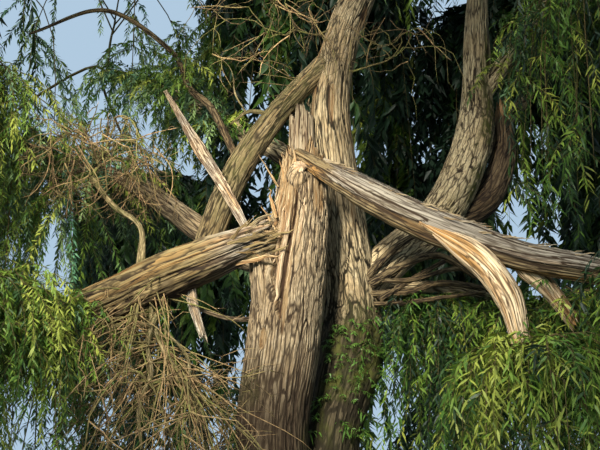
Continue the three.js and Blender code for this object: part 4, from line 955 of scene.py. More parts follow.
# Below the fallen bough, thin dead boughs twine like ropes from the back stem to the right. They are bark
# all over, and cross each other as the real ones do.
rope_lines = [
    [(0.5, 0.3, 3.5, 0.035), (0.75, 0.3, 3.76, 0.034), (1.05, 0.38, 3.93, 0.03), (1.35, 0.5, 3.86, 0.024)],
    [(0.52, 0.28, 3.42, 0.04), (0.82, 0.26, 3.6, 0.035), (1.15, 0.32, 3.7, 0.032), (1.5, 0.42, 3.52, 0.026)],
    [(0.5, 0.3, 3.34, 0.034), (0.85, 0.3, 3.36, 0.032), (1.2, 0.34, 3.45, 0.03), (1.75, 0.42, 3.38, 0.024)],
    [(0.55, 0.28, 3.46, 0.026), (0.9, 0.24, 3.46, 0.026), (1.25, 0.36, 3.58, 0.024), (1.6, 0.44, 3.62, 0.02)],
    [(0.6, 0.26, 3.28, 0.026), (0.95, 0.28, 3.5, 0.026), (1.3, 0.38, 3.72, 0.022), (1.42, 0.5, 3.9, 0.02)],
    [(0.55, 0.24, 3.24, 0.02), (0.85, 0.22, 3.25, 0.02), (1.15, 0.26, 3.3, 0.018), (1.55, 0.3, 3.36, 0.016)],
]
for index, points in enumerate(rope_lines):
    seed = 410 + 3 * index
    rope = Limb("rope_%d" % index, points, 0.008, seed=seed)
    bark_height, bark_crack = rope.relief(spacing=0.024, run=0.3, depth=0.007, seed=seed + 1)
    bark_height += rope.radius * rope.facets(0.25, 0.08, seed + 2)
    dress(rope.make(bark_height, crack=bark_crack, torn=0, moss=0), rope_bark, "bark")
    limb_points.pop(rope.name)

# The dark stub beside the right stem is the foot of a bough that snapped off. Its bark is painted dark as
# shade, and its end is broken open and brown.
dark_points = [
    (1.25, 0.82, 4.1, 0.12),
    (1.72, 0.95, 4.42, 0.15),
    (1.95, 1.05, 4.9, 0.13),
    (2.0, 1.15, 5.4, 0.07),
]
dark_stub = Limb("dark_stub", dark_points, 0.012, pit=0.08, teeth=0.2, inner=8, seed=401)
bark_height, bark_crack = dark_stub.relief(spacing=0.05, run=0.3, depth=0.016, seed=402)
# Its dark bark colour is painted shade.
stub_bark_painted_dark = bark_material(
    "dark_stub_bark", (0.15, 0.11, 0.062, 1), (0.016, 0.01, 0.007, 1), wood=(0.42, 0.26, 0.13, 1))
dark_end = np.maximum(eased(dark_stub.share, 0.86, 0.97), dark_stub.inside)
dark_sheet = dark_stub.make(bark_height, crack=bark_crack, torn=dark_end, moss=0)
dress(dark_sheet, stub_bark_painted_dark, "bark", "dark_stub")

# The foliage hangs in masses from the tips of the boughs. Each mass has one stem, twigs that arch over its
# heart and weep, and fine hanging strands on them. Twigs keep to their mass's space and clear of the limbs.
masses = {
    # Each mass's bough, heart, reach, rise over the heart, floor and notes. The notes say that it shares its
    # bough's end, may stand in the gap that the storm left, sits at the bough's foot, or is bare.
    "crown_top": ("top_bough_centre", (1.0, 0.5, 11.2), 1.7, 1.2, 9.3, ""),
    "crown_left": ("top_bough_left", (-1.5, 1.3, 9.8), 1.8, 1.0, 7.6, ""),
    "crown_right": ("top_bough_right", (2.9, -0.5, 9.5), 1.8, 1.0, 7.2, "shared"),
    "crown_front": ("top_bough_front", (0.5, -2.1, 9.7), 1.8, 0.9, 7.2, "shared"),
    "crown_back": ("right_stem", (2.2, 2.3, 9.4), 1.8, 1.1, 7.2, ""),
    "mid_right": ("right_fork", (3.9, 1.2, 7.8), 1.6, 0.9, 5.2, "shared"),
    "mid_right_front": ("top_bough_right", (3.5, -2.3, 7.7), 1.6, 0.8, 4.9, "shared"),
    "mid_front": ("top_bough_front", (0.4, -4.0, 7.7), 1.6, 0.8, 4.6, "shared"),
    "mid_left_front": ("left_front_bough", (-2.7, -1.6, 7.9), 1.7, 0.8, 4.8, "shared"),
    "mid_left": ("left_far_bough", (-4.0, 1.2, 6.6), 1.6, 0.9, 3.9, "shared"),
    "mid_back_left": ("back_left_bough", (-2.5, 3.2, 7.6), 1.8, 0.9, 4.0, "shared"),
    "mid_back": ("back_bough", (0.1, 3.7, 8.3), 1.8, 0.9, 3.6, "shared"),
    "mid_back_right": ("back_right_bough", (3.0, 3.5, 7.4), 1.7, 0.8, 3.8, "shared"),
    "curtain_right": ("right_fork", (5.0, 0.5, 5.4), 1.4, 0.5, 0.8, "shared"),
    "curtain_back_right": ("back_right_bough", (4.4, 3.5, 5.3), 1.4, 0.5, 0.8, "shared"),
    "curtain_back": ("back_bough", (1.4, 5.3, 5.6), 1.5, 0.5, 0.9, "shared"),
    "curtain_back_left": ("back_left_bough", (-1.9, 5.1, 5.4), 1.5, 0.5, 0.9, "shared"),
    "curtain_left_back": ("back_left_bough", (-4.5, 3.1, 5.2), 1.4, 0.5, 0.8, "shared"),
    "curtain_left": ("left_far_bough", (-5.1, 0.1, 4.9), 1.4, 0.5, 0.8, "shared"),
    "curtain_left_front": ("left_front_bough", (-4.3, -2.6, 5.3), 1.5, 0.6, 0.9, "shared"),
    "curtain_right_front": ("top_bough_right", (4.6, -2.0, 5.3), 1.5, 0.6, 0.9, "shared"),
    "right_spray": ("right_fork", (2.9, 0.0, 6.0), 1.2, 0.4, 3.9, "shared in gap"),
    "low_right_spray": ("fallen_bough", (2.8, -1.2, 3.1), 1.0, 0.4, 0.9, "in gap, at start"),
    "low_middle_spray": ("fallen_prong_front", (1.6, -1.05, 2.35), 0.8, 0.4, 0.8, "in gap"),
    "low_back_spray": ("low_right_bough", (2.1, 0.6, 3.0), 1.1, 0.4, 1.0, "in gap"),
    "low_left_spray": ("left_bough", (-2.6, -0.8, 2.7), 1.0, 0.7, 0.7, "in gap, at start"),
    "left_spray": ("left_far_bough", (-3.0, -0.1, 4.9), 1.1, 0.5, 3.1, "shared in gap"),
    "dead_twigs_low": ("hanging_branch", (-1.1, -0.55, 2.15), 0.9, 0.45, 1.2, "in gap, bare"),
    "dead_twigs_left": ("dead_branch", (-1.8, -0.3, 4.4), 0.7, 0.3, 3.9, "in gap, bare"),
    "dead_twigs_top": ("back_stem", (-0.4, -0.1, 5.65), 0.9, 0.3, 4.9, "in gap, bare"),
    "dead_twigs_right": ("back_stem", (0.85, 0.1, 5.6), 0.7, 0.2, 4.8, "in gap, bare"),
}
stem_radius, stem_sink, shared_ring = 0.024, 0.004, 0.58
sample_step, limb_margin, twig_steps = 0.06, 0.06, 11
least_twig_share, least_strand_share = 0.3, 0.25
highest = 12.4
# The storm's gap is a wedge that opens from eye height on the broken side, back to the stems.
eye = (-0.1, -8.0, 1.6)
gap_back, gap_half_angle, gap_rise_angle = 0.7, 18.5, 30.5
# Two masses sit on the side of the back stem: where, and which way their stems leave it.
side_seats = {
    "dead_twigs_top": ((0.24, 0.36, 5.9), (-0.7, -0.6, 0.1)),
    "dead_twigs_right": ((0.34, 0.37, 5.5), (0.9, -0.4, 0.2)),
}
names = list(masses)
hearts = np.array([mass[1] for mass in masses.values()])
reaches, rises, floors = (np.array([mass[k] for mass in masses.values()]) for k in (2, 3, 4))


def seeded_numbers(seed):
    """Numbers from 0 to 1, the same on every run. The first four follow the seed too closely."""
    state, left = seed, 4
    while True:
        state = (state * 1664525 + 1013904223) % 2**32
        if left:
            left -= 1
        else:
            yield state / 2**32


def broken_line(points, share):
    """Places along straight stretches, at shares from 0 to 1 with an equal part for each stretch."""
    points = np.array(points, float)
    at = np.clip(np.asarray(share, float), 0, 1) * (len(points) - 1)
    low = np.minimum(at.astype(int), len(points) - 2)
    return points[low] + (points[low + 1] - points[low]) * (at - low)[..., None]


def sample_shares(points):
    """Shares that step along a line closely enough to find what it touches."""
    length = np.linalg.norm(np.diff(np.array(points)[:, :3], axis=0), axis=1).sum()
    return np.linspace(0, 1, math.ceil(1.1 * length / sample_step) + 1)


def curve_through(points):
    """A twig's places along the smooth curve through some points."""
    return smooth_line([(*point, 1) for point in points], np.linspace(0, 1, twig_steps))[0]


def seen_from_eye(places):
    """How far aside and up places lie, seen from the eye and as shares of their distance."""
    deep = np.maximum(places[..., 1] - eye[1], 0.1)
    return (places[..., 0] - eye[0]) / deep, (places[..., 2] - eye[2]) / deep


def limb_ring(name, at_start):
    """The end ring of a limb: its middle, radius, heading and the two directions across it."""
    points = limb_points[name]
    rings = 2 if name in ("fallen_bough", "left_bough", "right_stem", "back_stem") else 1
    count = (len(points) - 1) * rings
    steps = np.arange(count + 1) / count
    place, radius = smooth_line(points, steps)
    heading = unit(smooth_line(points, steps + 0.2 / count)[0] - smooth_line(points, steps - 0.2 / count)[0])
    across, over = carried_across(heading)
    end = 0 if at_start else -1
    return place[end], radius[end], heading[end] * (-1 if at_start else 1), across[end], over[end]


def stem_line(name):
    """A mass's stem leaves its seat along the bough and turns to the heart of the mass."""
    limb, heart, *_, notes = masses[name]
    heart, spread = np.array(heart), np.zeros(3)
    if name in side_seats:
        foot, heading = np.array(side_seats[name][0]), unit(np.array(side_seats[name][1]))
    else:
        place, radius, heading, across, over = limb_ring(limb, "start" in notes)
        foot = place - heading * stem_sink
        if "shared" in notes:
            sharing = [other for other in names if masses[other][0] == limb and "shared" in masses[other][5]]
            turns = {}
            for other in sharing:
                towards = np.array(masses[other][1]) - place
                turns[other] = math.atan2(towards @ over, towards @ across)
            order = sorted(sharing, key=turns.get)
            angle = turns[order[0]] + 2 * math.pi * order.index(name) / len(order)
            spread = across * math.cos(angle) + over * math.sin(angle)
            foot = foot + spread * radius * shared_ring
    far = np.linalg.norm(heart - foot)
    lead = foot + heading * 0.12 * far + spread * 0.06 * far
    bend = (foot + heart) / 2 + heading * 0.15 * far + spread * 0.08 * far
    return smooth_line([(*point, stem_radius) for point in (foot, lead, bend, heart)], np.arange(6) / 5)[0]


def away_from_lines(places):
    """How far each place is from every mass's upright line."""
    z = np.clip(places[..., 2:3], floors, hearts[:, 2])
    return np.sqrt(((places[..., None, :2] - hearts[:, :2]) ** 2).sum(-1) + (places[..., 2:3] - z) ** 2)


def in_space(places, name, apart=0.05):
    """Whether places are in a mass's reach, nearer to it than to others, and out of the storm's gap."""
    index = names.index(name)
    heart, away = hearts[index], away_from_lines(places)
    own = away[..., index : index + 1].copy()
    away[..., index] = 99
    inside = np.hypot(places[..., 0] - heart[0], places[..., 1] - heart[1]) <= reaches[index]
    top = min(heart[2] + rises[index], highest)
    inside &= (places[..., 2] >= floors[index]) & (places[..., 2] <= top) & (away > own + apart).all(-1)
    if "gap" not in masses[name][5]:
        deep = places[..., 1] - eye[1]
        wide = deep * math.tan(math.radians(gap_half_angle))
        high = deep * math.tan(math.radians(gap_rise_angle))
        wedge = (deep > 0) & (places[..., 1] < gap_back) & (abs(places[..., 0] - eye[0]) < wide)
        inside &= ~(wedge & (places[..., 2] < eye[2] + high))
    return inside


stems = {name: stem_line(name) for name in names}
limb_places, limb_radii, limb_owners = [], [], []
for name, points in limb_points.items():
    if name == "trunk":
        continue
    place, radius = smooth_line(points, sample_shares(points))
    limb_places.append(place)
    limb_radii.append(radius)
    limb_owners += [name] * len(place)
for name, stem in stems.items():
    place = broken_line(stem, sample_shares(stem))
    limb_places.append(place)
    limb_radii.append(np.full(len(place), stem_radius))
    limb_owners += [name] * len(place)
limb_places = np.vstack(limb_places)
limb_radii = np.concatenate(limb_radii)
limb_owners = np.array(limb_owners)


def touches(places, name, margin):
    """Whether places are nearer than the margin to a limb, or to another mass's stem."""
    others = limb_owners != name
    low, high = places.reshape(-1, 3).min(0) - 0.5, places.reshape(-1, 3).max(0) + 0.5
    others &= ((limb_places > low) & (limb_places < high)).all(1)
    gap = np.linalg.norm(places[..., None, :] - limb_places[others], axis=-1) - limb_radii[others]
    return (gap < margin).any(-1)


def twig_points(name, i, count, numbers):
    """A weeping twig: it climbs from the stem, arches over and hangs to near the floor."""
    index, bare = names.index(name), "bare" in masses[name][5]
    heart, drop = hearts[index], hearts[index][2] - floors[index]
    start = broken_line(stems[name], 1 - 0.3 * (count - i - 0.5) / count)
    angle = math.pi * (3 - math.sqrt(5)) * i + 0.7 * next(numbers)
    out = np.array([math.cos(angle), math.sin(angle), 0])
    reach = reaches[index] * (0.62 + 0.33 * next(numbers))
    rise = rises[index] * (0.55 + 0.4 * next(numbers))
    crest = (start + heart) / 2 + out * reach * 0.4
    crest[2] = min(max(start[2], heart[2]) + rise * 0.9, heart[2] + rises[index] * 0.96)
    shoulder = heart + out * reach * 0.85
    shoulder[2] = heart[2] + rise * 0.2
    tip = heart + out * reach
    least, more = (0.35, 0.6) if bare else (0.82, 0.16)
    tip[2] = heart[2] - drop * (least + more * next(numbers))
    return np.array([start, crest, shoulder, tip])


# Openings in the foliage, where sky shows between the masses from the open side. A row gives the direction
# seen from eye height, aside and upward, the half sizes, and the share of the strands that is gone there.
openings = [
    (-0.24, 0.56, 0.16, 0.09, 0.98),
    (-0.31, 0.44, 0.05, 0.05, 0.5),
    (-0.17, 0.43, 0.12, 0.06, 0.08),
    (-0.29, 0.13, 0.03, 0.05, 0.55),
    (-0.12, 0.06, 0.04, 0.02, 0.8),
    (0.1, 0.12, 0.016, 0.035, 0.85),
    (-0.062, 0.22, 0.014, 0.025, 0.9),
    (0.075, 0.29, 0.015, 0.02, 0.7),
    (0.15, 0.47, 0.015, 0.02, 0.6),
    (0.228, 0.168, 0.022, 0.022, 0.6),
]


def gone_at(places):
    """The share of the foliage that the openings take away at each place."""
    aside, up = seen_from_eye(places)
    gone = 0
    for x, y, wide, high, share in openings:
        far = np.hypot((aside - x) / wide, (up - y) / high)
        gone = np.maximum(gone, share * (1 - eased(far, 0.75, 1.25)))
    return gone


def thinned(lines, rng):
    """The strands that are left beside the openings."""
    return lines[rng.random(len(lines)) > gone_at(lines.mean(axis=1))]


def clear_share(points, name):
    """The share of a twig that stays in the mass's space, once it has entered it, and clear of every limb."""
    shares = sample_shares(points)
    places, count = broken_line(points, shares), len(shares)
    inside, blocked = in_space(places, name), touches(places, name, limb_margin)
    entered = False
    for i in range(1, count):
        if blocked[i] or (entered and not inside[i]):
            return (i - 1) / (count - 1)
        entered = entered or inside[i]
        if not entered and i > 0.45 * count:
            return 0
    return 1


def seen_share(points):
    """The share of a twig above the first opening in the foliage that it reaches."""
    shares = np.linspace(0, 1, 60)
    gone = gone_at(broken_line(points, shares)) > 0.45
    return shares[gone.argmax()] if gone.any() else 1


def kept_part(points, share):
    """A twig's points up to its clear share."""
    whole = [point for i, point in enumerate(points) if i < share * 3 - 0.05]
    return np.array(whole + [broken_line(points, share)])


def grow_twigs(name, main, further, thick, thin):
    """A mass's main twigs, with the numbers of its solid, and further ones by the same rule."""
    lines, radii = [], []
    rng = np.random.default_rng(500 + names.index(name))
    for i in range(main + further):
        if i < main:
            numbers = seeded_numbers((101 + names.index(name)) * 1000 + i)
            points = twig_points(name, i, main, numbers)
        else:
            numbers = iter(rng.random(4))
            points = twig_points(name, i, main + further, numbers)
            points[1:] += rng.normal(0, 0.08, (3, 3)) * reaches[names.index(name)] * 0.5
        share = clear_share(points, name)
        if i >= main:
            share = min(share, seen_share(points))
        if share < least_twig_share:
            continue
        kept = kept_part(points, share)
        start, tip = (thick, 0.4 * thick) if i < main else (thin, 0.4 * thin)
        lines.append(curve_through(kept))
        radii.append(np.linspace(start, tip, twig_steps))
    return np.array(lines), np.array(radii)


def clipped(lines, name, margin):
    """Lines cut short where they leave the mass's space or come too near a limb. Short scraps are dropped."""
    steps = lines.shape[1]
    fine = np.linspace(0, 1, 2 * steps - 1)
    sampled = np.stack([lines[:, :-1], (lines[:, :-1] + lines[:, 1:]) / 2], 2).reshape(len(lines), -1, 3)
    sampled = np.concatenate([sampled, lines[:, -1:]], axis=1)
    good = in_space(sampled, name, -0.35) & ~touches(sampled, name, margin)
    good[:, 0] = True
    last = np.cumprod(good, axis=1).sum(1) - 1
    share = fine[last]
    at = share[:, None] * np.linspace(0, 1, steps) * (steps - 1)
    low = np.minimum(at.astype(int), steps - 2)
    row = np.arange(len(lines))[:, None]
    cut = lines[row, low] + (lines[row, low + 1] - lines[row, low]) * (at - low)[..., None]
    return cut[share > least_strand_share]


def hanging_strands(name, twigs, count, steps, longest, bows, rng):
    """Fine strands that leave the twigs all along their outer part, bow out a little and hang."""
    which = rng.integers(0, len(twigs), count)
    at = rng.uniform(0.15, 0.99, count) * (twigs.shape[1] - 1)
    low = at.astype(int)
    seat = twigs[which, low] + (twigs[which, low + 1] - twigs[which, low]) * (at - low)[:, None]
    along = unit(twigs[which, low + 1] - twigs[which, low])
    turn = rng.uniform(0, 2 * math.pi, count)
    out = unit(np.stack([np.cos(turn), np.sin(turn), 0 * turn], -1) + 0.6 * along)
    steps = np.linspace(0, 1, steps)
    long = longest * rng.uniform(0.3, 1.0, count)
    spread = long * rng.uniform(*bows, count)
    bow = spread[:, None] * (1 - (1 - steps) ** 2)
    fall = long[:, None] * (steps**1.3) - 0.2 * spread[:, None] * np.sin(math.pi * steps)
    lines = seat[:, None] + out[:, None] * bow[..., None] - np.array([0, 0, 1.0]) * fall[..., None]
    sway = rng.normal(0, 0.03, (count, 1, 3)) * np.sin(4 * steps + 1)[None, :, None] * long[:, None, None]
    return thinned(clipped(lines + sway * steps[None, :, None], name, 0.02), rng)


def leaves_on(strands, spacing, length, width, faces, rng):
    """Narrow leaves in two ranks along each strand: their corners, triangles and each one's strand."""
    steps = strands.shape[1]
    long = np.linalg.norm(np.diff(strands, axis=1), axis=2).sum(1)
    counts = np.maximum(2, (long / spacing).astype(int))
    which = np.repeat(np.arange(len(strands)), counts)
    order = np.arange(len(which)) - np.repeat(np.cumsum(counts) - counts, counts)
    at = (order + rng.uniform(0.1, 0.9, len(which))) / np.repeat(counts, counts) * (steps - 1) * 0.999
    low = at.astype(int)
    step = strands[which, low + 1] - strands[which, low]
    foot, along = strands[which, low] + step * (at - low)[:, None], unit(step)
    turn = order * math.pi + rng.uniform(0, 2 * math.pi, len(strands))[which]
    turn = turn + rng.normal(0, 0.6, len(which))
    aside = np.stack([np.cos(turn), np.sin(turn), 0 * turn], -1)
    aside = unit(aside - 0.8 * along * (aside * along).sum(-1, keepdims=True))
    heading = unit(0.55 * along + 0.65 * aside + rng.normal(0, 0.2, aside.shape) - np.array([0, 0, 0.15]))
    flat = unit(np.cross(heading, np.array([0, 0, 1.0])) + 0.5 * rng.normal(size=aside.shape))
    flat = unit(flat - heading * (flat * heading).sum(-1, keepdims=True))
    over = np.cross(heading, flat)
    size = length * rng.uniform(0.6, 1.1, (len(which), 1))
    half = width / 2 * rng.uniform(0.8, 1.15, (len(which), 1))
    fall = -np.array([0, 0, 1.0]) * size
    tip = foot + heading * size + 0.2 * fall
    if faces == 4:
        sides = [
            foot + heading * size * far + side * flat * half * wide + 0.06 * fall * far
            for far, wide, side in ((0.3, 1.0, -1), (0.3, 1.0, 1), (0.66, 0.72, -1), (0.66, 0.72, 1))
        ]
        corners = np.stack([foot, tip, *sides], axis=1)
        template = np.array([(0, 3, 2), (2, 3, 4), (3, 5, 4), (4, 5, 1)])
    else:
        left, right = (
            foot + heading * size * 0.42 + side * flat * half + over * half * 0.5
            for side in (-1, 1)
        )
        corners = np.stack([foot, tip, left, right], axis=1)
        template = np.array([(0, 1, 2), (0, 3, 1)])
    return corners, template, which


# Leaf tones from dark to light. leaf_shade and leaf_deep are dark greens that serve mostly as painted shade,
# leaf_bright and leaf_yellow are yellow-greens that serve as painted light, and leaf_silver, leaf_teal and
# leaf_pale are the paler undersides, brightened with painted light for leaves lit from behind.
leaf_tones = {
    "leaf_shade": (0.012, 0.034, 0.016, 1),
    "leaf_deep": (0.03, 0.075, 0.016, 1),
    "leaf_green": (0.075, 0.16, 0.022, 1),
    "leaf_bright": (0.17, 0.27, 0.035, 1),
    "leaf_yellow": (0.33, 0.38, 0.06, 1),
    "leaf_silver": (0.14, 0.24, 0.12, 1),
    "leaf_teal": (0.1, 0.24, 0.13, 1),
    "leaf_pale": (0.3, 0.44, 0.17, 1),
}


def leaf_material(name, tone):
    """A willow leaf's plain tone, a little uneven, with a soft waxy shine."""
    material, start = new_material(name)
    place = start.node("ShaderNodeTexCoord", {}, {}, output=3)
    patch = place.mottle(9.0, 2.0)
    colour = patch.eased(0.3, 0.7).tint((tone[0] * 0.7, tone[1] * 0.75, tone[2] * 0.7, 1), tone)
    sockets = {"Base Color": colour, "Roughness": 0.42 + 0.2 * patch, "Specular IOR Level": 0.4}
    surface = start.node("ShaderNodeBsdfPrincipled", {}, sockets)
    start.node("ShaderNodeOutputMaterial", {}, {"Surface": surface})
    return material


leaf_materials = [leaf_material(name, tone) for name, tone in leaf_tones.items()]


# Places where the sprays' tones carry painted shade or painted light, seen from the open side like the
# openings. A row gives the direction, the half sizes, and how often a strand takes each tone there.
light_places = [
    (-0.14, 0.25, 0.09, 0.09, (0.5, 0.3, 0.14, 0.03, 0.0, 0.01, 0.01, 0.01)),
    (-0.07, 0.5, 0.07, 0.08, (0.1, 0.2, 0.3, 0.25, 0.08, 0.04, 0.03, 0.0)),
    (0.26, 0.1, 0.08, 0.07, (0.04, 0.1, 0.16, 0.34, 0.34, 0.02, 0.0, 0.0)),
    (0.12, 0.16, 0.06, 0.07, (0.3, 0.32, 0.2, 0.12, 0.05, 0.01, 0.0, 0.0)),
]


def lit_tones(lines, tones, rng):
    """The tones, dealt anew where a line is in one of those places."""
    aside, up = seen_from_eye(lines.mean(axis=1))
    for x, y, wide, high, shares in light_places:
        here = np.hypot((aside - x) / wide, (up - y) / high) < rng.uniform(0.7, 1.2, len(lines))
        tones = np.where(here, rng.choice(len(leaf_tones), len(lines), p=shares), tones)
    return tones


def dealt_tones(strands, heart, shares, rng):
    """A tone for each strand. A mass with much painted shade is dark only on its inner side, towards the
    trunk.
    """
    tones = lit_tones(strands, rng.choice(len(leaf_tones), len(strands), p=shares), rng)
    lit = rng.choice(len(leaf_tones), len(strands), p=(0.08, 0.25, 0.37, 0.2, 0.05, 0.05, 0, 0))
    middle = strands.mean(axis=1)
    far = np.hypot(middle[:, 0] - 0.2, middle[:, 1] - 0.4) - math.hypot(heart[0] - 0.2, heart[1] - 0.4)
    return np.where((far > 0.3) & (shares[0] > 0.25), lit, tones)


def joined_leaves(name, corners, template):
    """Leaves with the same triangles as one mesh."""
    triangles = template + corners.shape[1] * np.arange(len(corners))[:, None, None]
    return joined_mesh(name, corners.reshape(-1, 3), triangles.reshape(-1, 3))


def leafy_piece(name, corners, template, tones, *nodes):
    """All the leaves of a group as one piece, each in its spray's tone."""
    leaves = joined_leaves(name, corners, template)
    for material in leaf_materials:
        leaves.data.materials.append(material)
    leaves.data.polygons.foreach_set("material_index", np.repeat(tones, len(template)).astype(np.int32))
    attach(leaves, "root")
    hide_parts(*nodes)
    return leaves


twig_bark = bark_material("twig_bark", (0.2, 0.17, 0.07, 1), (0.06, 0.045, 0.02, 1))
# Each group: its masses; the strands on each, their points, longest length and bow; the leaves' spacing,
# length, width and faces; and how often a strand takes each tone. The dark tones of the back groups are
# painted shade.
leaf_groups = {
    "crown": (
        names[0:5],
        (300, 4, 1.5, (0.15, 0.5)), (0.0435, 0.215, 0.04, 2), (0.05, 0.2, 0.35, 0.25, 0.1, 0.05, 0, 0)),
    "mid": (
        names[5:10],
        (320, 4, 1.5, (0.15, 0.5)), (0.0435, 0.205, 0.038, 2), (0.15, 0.3, 0.35, 0.15, 0.0, 0.05, 0, 0)),
    "upper_left": (
        ("mid_back_left", "curtain_left_back"),
        (600, 5, 1.1, (0.4, 1.1)), (0.0124, 0.1, 0.0235, 2), (0.0, 0.06, 0.17, 0.22, 0.14, 0.12, 0.14, 0.15)),
    "back_left": (
        ("curtain_back_left",),
        (900, 4, 1.4, (0.3, 0.9)), (0.021, 0.205, 0.053, 2), (0.28, 0.3, 0.25, 0.1, 0.02, 0.05, 0, 0)),
    "back_right": (
        ("mid_back", "mid_back_right"),
        (720, 4, 1.4, (0.3, 0.9)), (0.026, 0.235, 0.065, 2), (0.76, 0.2, 0.03, 0.0, 0.0, 0.01, 0, 0)),
    "curtain_back": (
        ("curtain_back", "curtain_back_right"),
        (560, 4, 1.4, (0.3, 0.9)), (0.0245, 0.235, 0.065, 2), (0.6, 0.25, 0.1, 0.02, 0.0, 0.03, 0, 0)),
    "curtain": (
        ("curtain_right", "curtain_left", "curtain_left_front", "curtain_right_front"),
        (340, 4, 1.6, (0.15, 0.5)), (0.04, 0.205, 0.038, 2), (0.15, 0.3, 0.33, 0.17, 0.03, 0.02, 0, 0)),
    "near_right": (
        ("right_spray", "low_back_spray"),
        (430, 6, 0.8, (0.4, 1.1)), (0.024, 0.12, 0.019, 4), (0.2, 0.28, 0.24, 0.18, 0.09, 0.01, 0, 0)),
    "low_right": (
        ("low_right_spray", "low_middle_spray"),
        (430, 6, 0.8, (0.4, 1.1)), (0.024, 0.12, 0.019, 4), (0.14, 0.2, 0.17, 0.26, 0.22, 0.01, 0, 0)),
    "near_left": (
        ("left_spray",),
        (620, 6, 0.75, (0.4, 1.2)), (0.016, 0.08, 0.016, 2), (0.0, 0.06, 0.17, 0.36, 0.32, 0.05, 0, 0.04)),
    "low_left": (
        ("low_left_spray",),
        (1100, 6, 0.75, (0.4, 1.2)), (0.016, 0.08, 0.016, 2), (0.03, 0.12, 0.22, 0.33, 0.24, 0.03, 0, 0.03)),
}
for index, (group, (members, strand_rule, leaf_rule, shares)) in enumerate(leaf_groups.items()):
    rng = np.random.default_rng(700 + index)
    twig_lines, twig_radii, strand_lines, corner_sets, tone_sets = [], [], [], [], []
    for name in members:
        lines, radii = grow_twigs(name, 5, 34, 0.012, 0.0065)
        twig_lines += [lines, curve_through(stems[name])[None]]
        twig_radii += [radii, np.linspace(stem_radius, 0.014, twig_steps)[None]]
        strands = hanging_strands(name, lines, *strand_rule, rng)
        strand_lines.append(strands)
        corners, template, which = leaves_on(strands, *leaf_rule, rng)
        inside = in_space(corners[:, 1], name, -0.4)
        inside &= ~touches(corners[:, 1], name, 0.01)
        tones = dealt_tones(strands, masses[name][1], shares, rng)[which]
        corner_sets.append(corners[inside])
        tone_sets.append(tones[inside])
    twigs = joined_tubes(group + "_twigs", np.vstack(twig_lines), np.vstack(twig_radii), 3)
    dress(twigs, twig_bark, "dead_twigs", *members)
    strand_lines = np.vstack(strand_lines)
    strand_radii = np.tile(np.linspace(0.0032, 0.0016, strand_lines.shape[1]), (len(strand_lines), 1))
    dress(joined_tubes(group + "_strands", strand_lines, strand_radii, 3), twig_bark, "foliage", *members)
    leafy_piece(group + "_leaves", np.vstack(corner_sets), template, np.concatenate(tone_sets), *members)

# Leafy shoots also sprout along the boughs of the open side, and hide most of their length. Each row gives
# the bough, the stretch of it, how many shoots there are, the longest one and where they point.
shoot_groups = {
    "upper_shoots": (
        (
            ("back_left_bough", 0.25, 0.98, 170, 0.7, (0.0, -1.0, 0.2)),
            ("left_far_bough", 0.64, 0.98, 170, 1.0, (0.0, 0.3, 0.5)),
            ("left_far_bough", 0.7, 0.84, 60, 1.8, (-0.05, 0.2, -0.4)),
            ("arching_branch", 0.3, 0.95, 60, 0.4, (0.0, 0.2, 0.4)),
            ("right_fork", 0.3, 0.95, 110, 0.6, (0.3, -0.5, 0.1)),
        ),
        (0.014, 0.09, 0.019, 2), (0.0, 0.1, 0.25, 0.25, 0.12, 0.08, 0.1, 0.1)),
    "low_shoots": (
        (
            ("low_right_bough", 0.3, 1.0, 200, 1.1, (0.1, -0.5, -0.9)),
            ("back_stem", 0.04, 0.14, 30, 0.4, (0.9, -0.4, 0.2)),
            ("fallen_prong_front", 0.85, 1.0, 16, 0.4, (0.0, 0.3, 0.3)),
            ("fallen_prong_back", 0.75, 1.0, 24, 0.5, (0.3, 0.2, 0.1)),
        ),
        (0.02, 0.11, 0.019, 4), (0.06, 0.2, 0.3, 0.28, 0.14, 0.02, 0, 0)),
    "left_end_shoots": (
        (
            ("left_bough", 0.0, 0.16, 200, 0.6, (-0.4, -0.7, 0.3)),
            ("left_bough", 0.1, 0.3, 110, 0.5, (-0.3, -0.6, 0.5)),
        ),
        (0.012, 0.075, 0.016, 2), (0.0, 0.05, 0.17, 0.36, 0.32, 0.05, 0, 0.05)),
}
shoot_steps = 6
for index, (group, (rows, leaf_rule, shares)) in enumerate(shoot_groups.items()):
    rng = np.random.default_rng(755 + 10 * index)
    shoot_lines = []
    for name, low, high, count, longest, out in rows:
        seats, radius = smooth_line(limb_points[name], rng.uniform(low, high, count))
        headings = unit(np.array(out) + rng.normal(0, 0.6, (count, 3)) * (1, 1, 0.6))
        steps = np.linspace(0, 1, shoot_steps)[None, :, None]
        long = longest * rng.uniform(0.3, 1.0, count)[:, None, None]
        fall = np.array([0, 0, 0.75]) * steps**2
        foot = seats[:, None] + headings[:, None] * radius[:, None, None] * 0.6
        shoot_lines.append(foot + long * (headings[:, None] * steps - fall))
    shoot_lines = thinned(np.vstack(shoot_lines), rng)
    shoot_radii = np.tile(np.linspace(0.003, 0.0015, shoot_steps), (len(shoot_lines), 1))
    dress(joined_tubes(group, shoot_lines, shoot_radii, 3), twig_bark, "foliage")
    corners, template, which = leaves_on(shoot_lines, *leaf_rule, rng)
    clear = ~touches(corners[:, 1], "none", 0.004)
    tones = lit_tones(shoot_lines, rng.choice(len(leaf_tones), len(shoot_lines), p=shares), rng)[which]
    leafy_piece(group + "_leaves", corners[clear], template, tones[clear])

# Small leafy shoots sprout from the moss on the back stem's burl. They are short, and all of one green, and
# only their leaves are wide enough to show.
rng = np.random.default_rng(760)
corners, template, which = leaves_on(shoots, 0.009, 0.05, 0.011, 4, rng)
dress(joined_leaves("burl_shoots", corners, template), leaf_materials[2], "foliage")

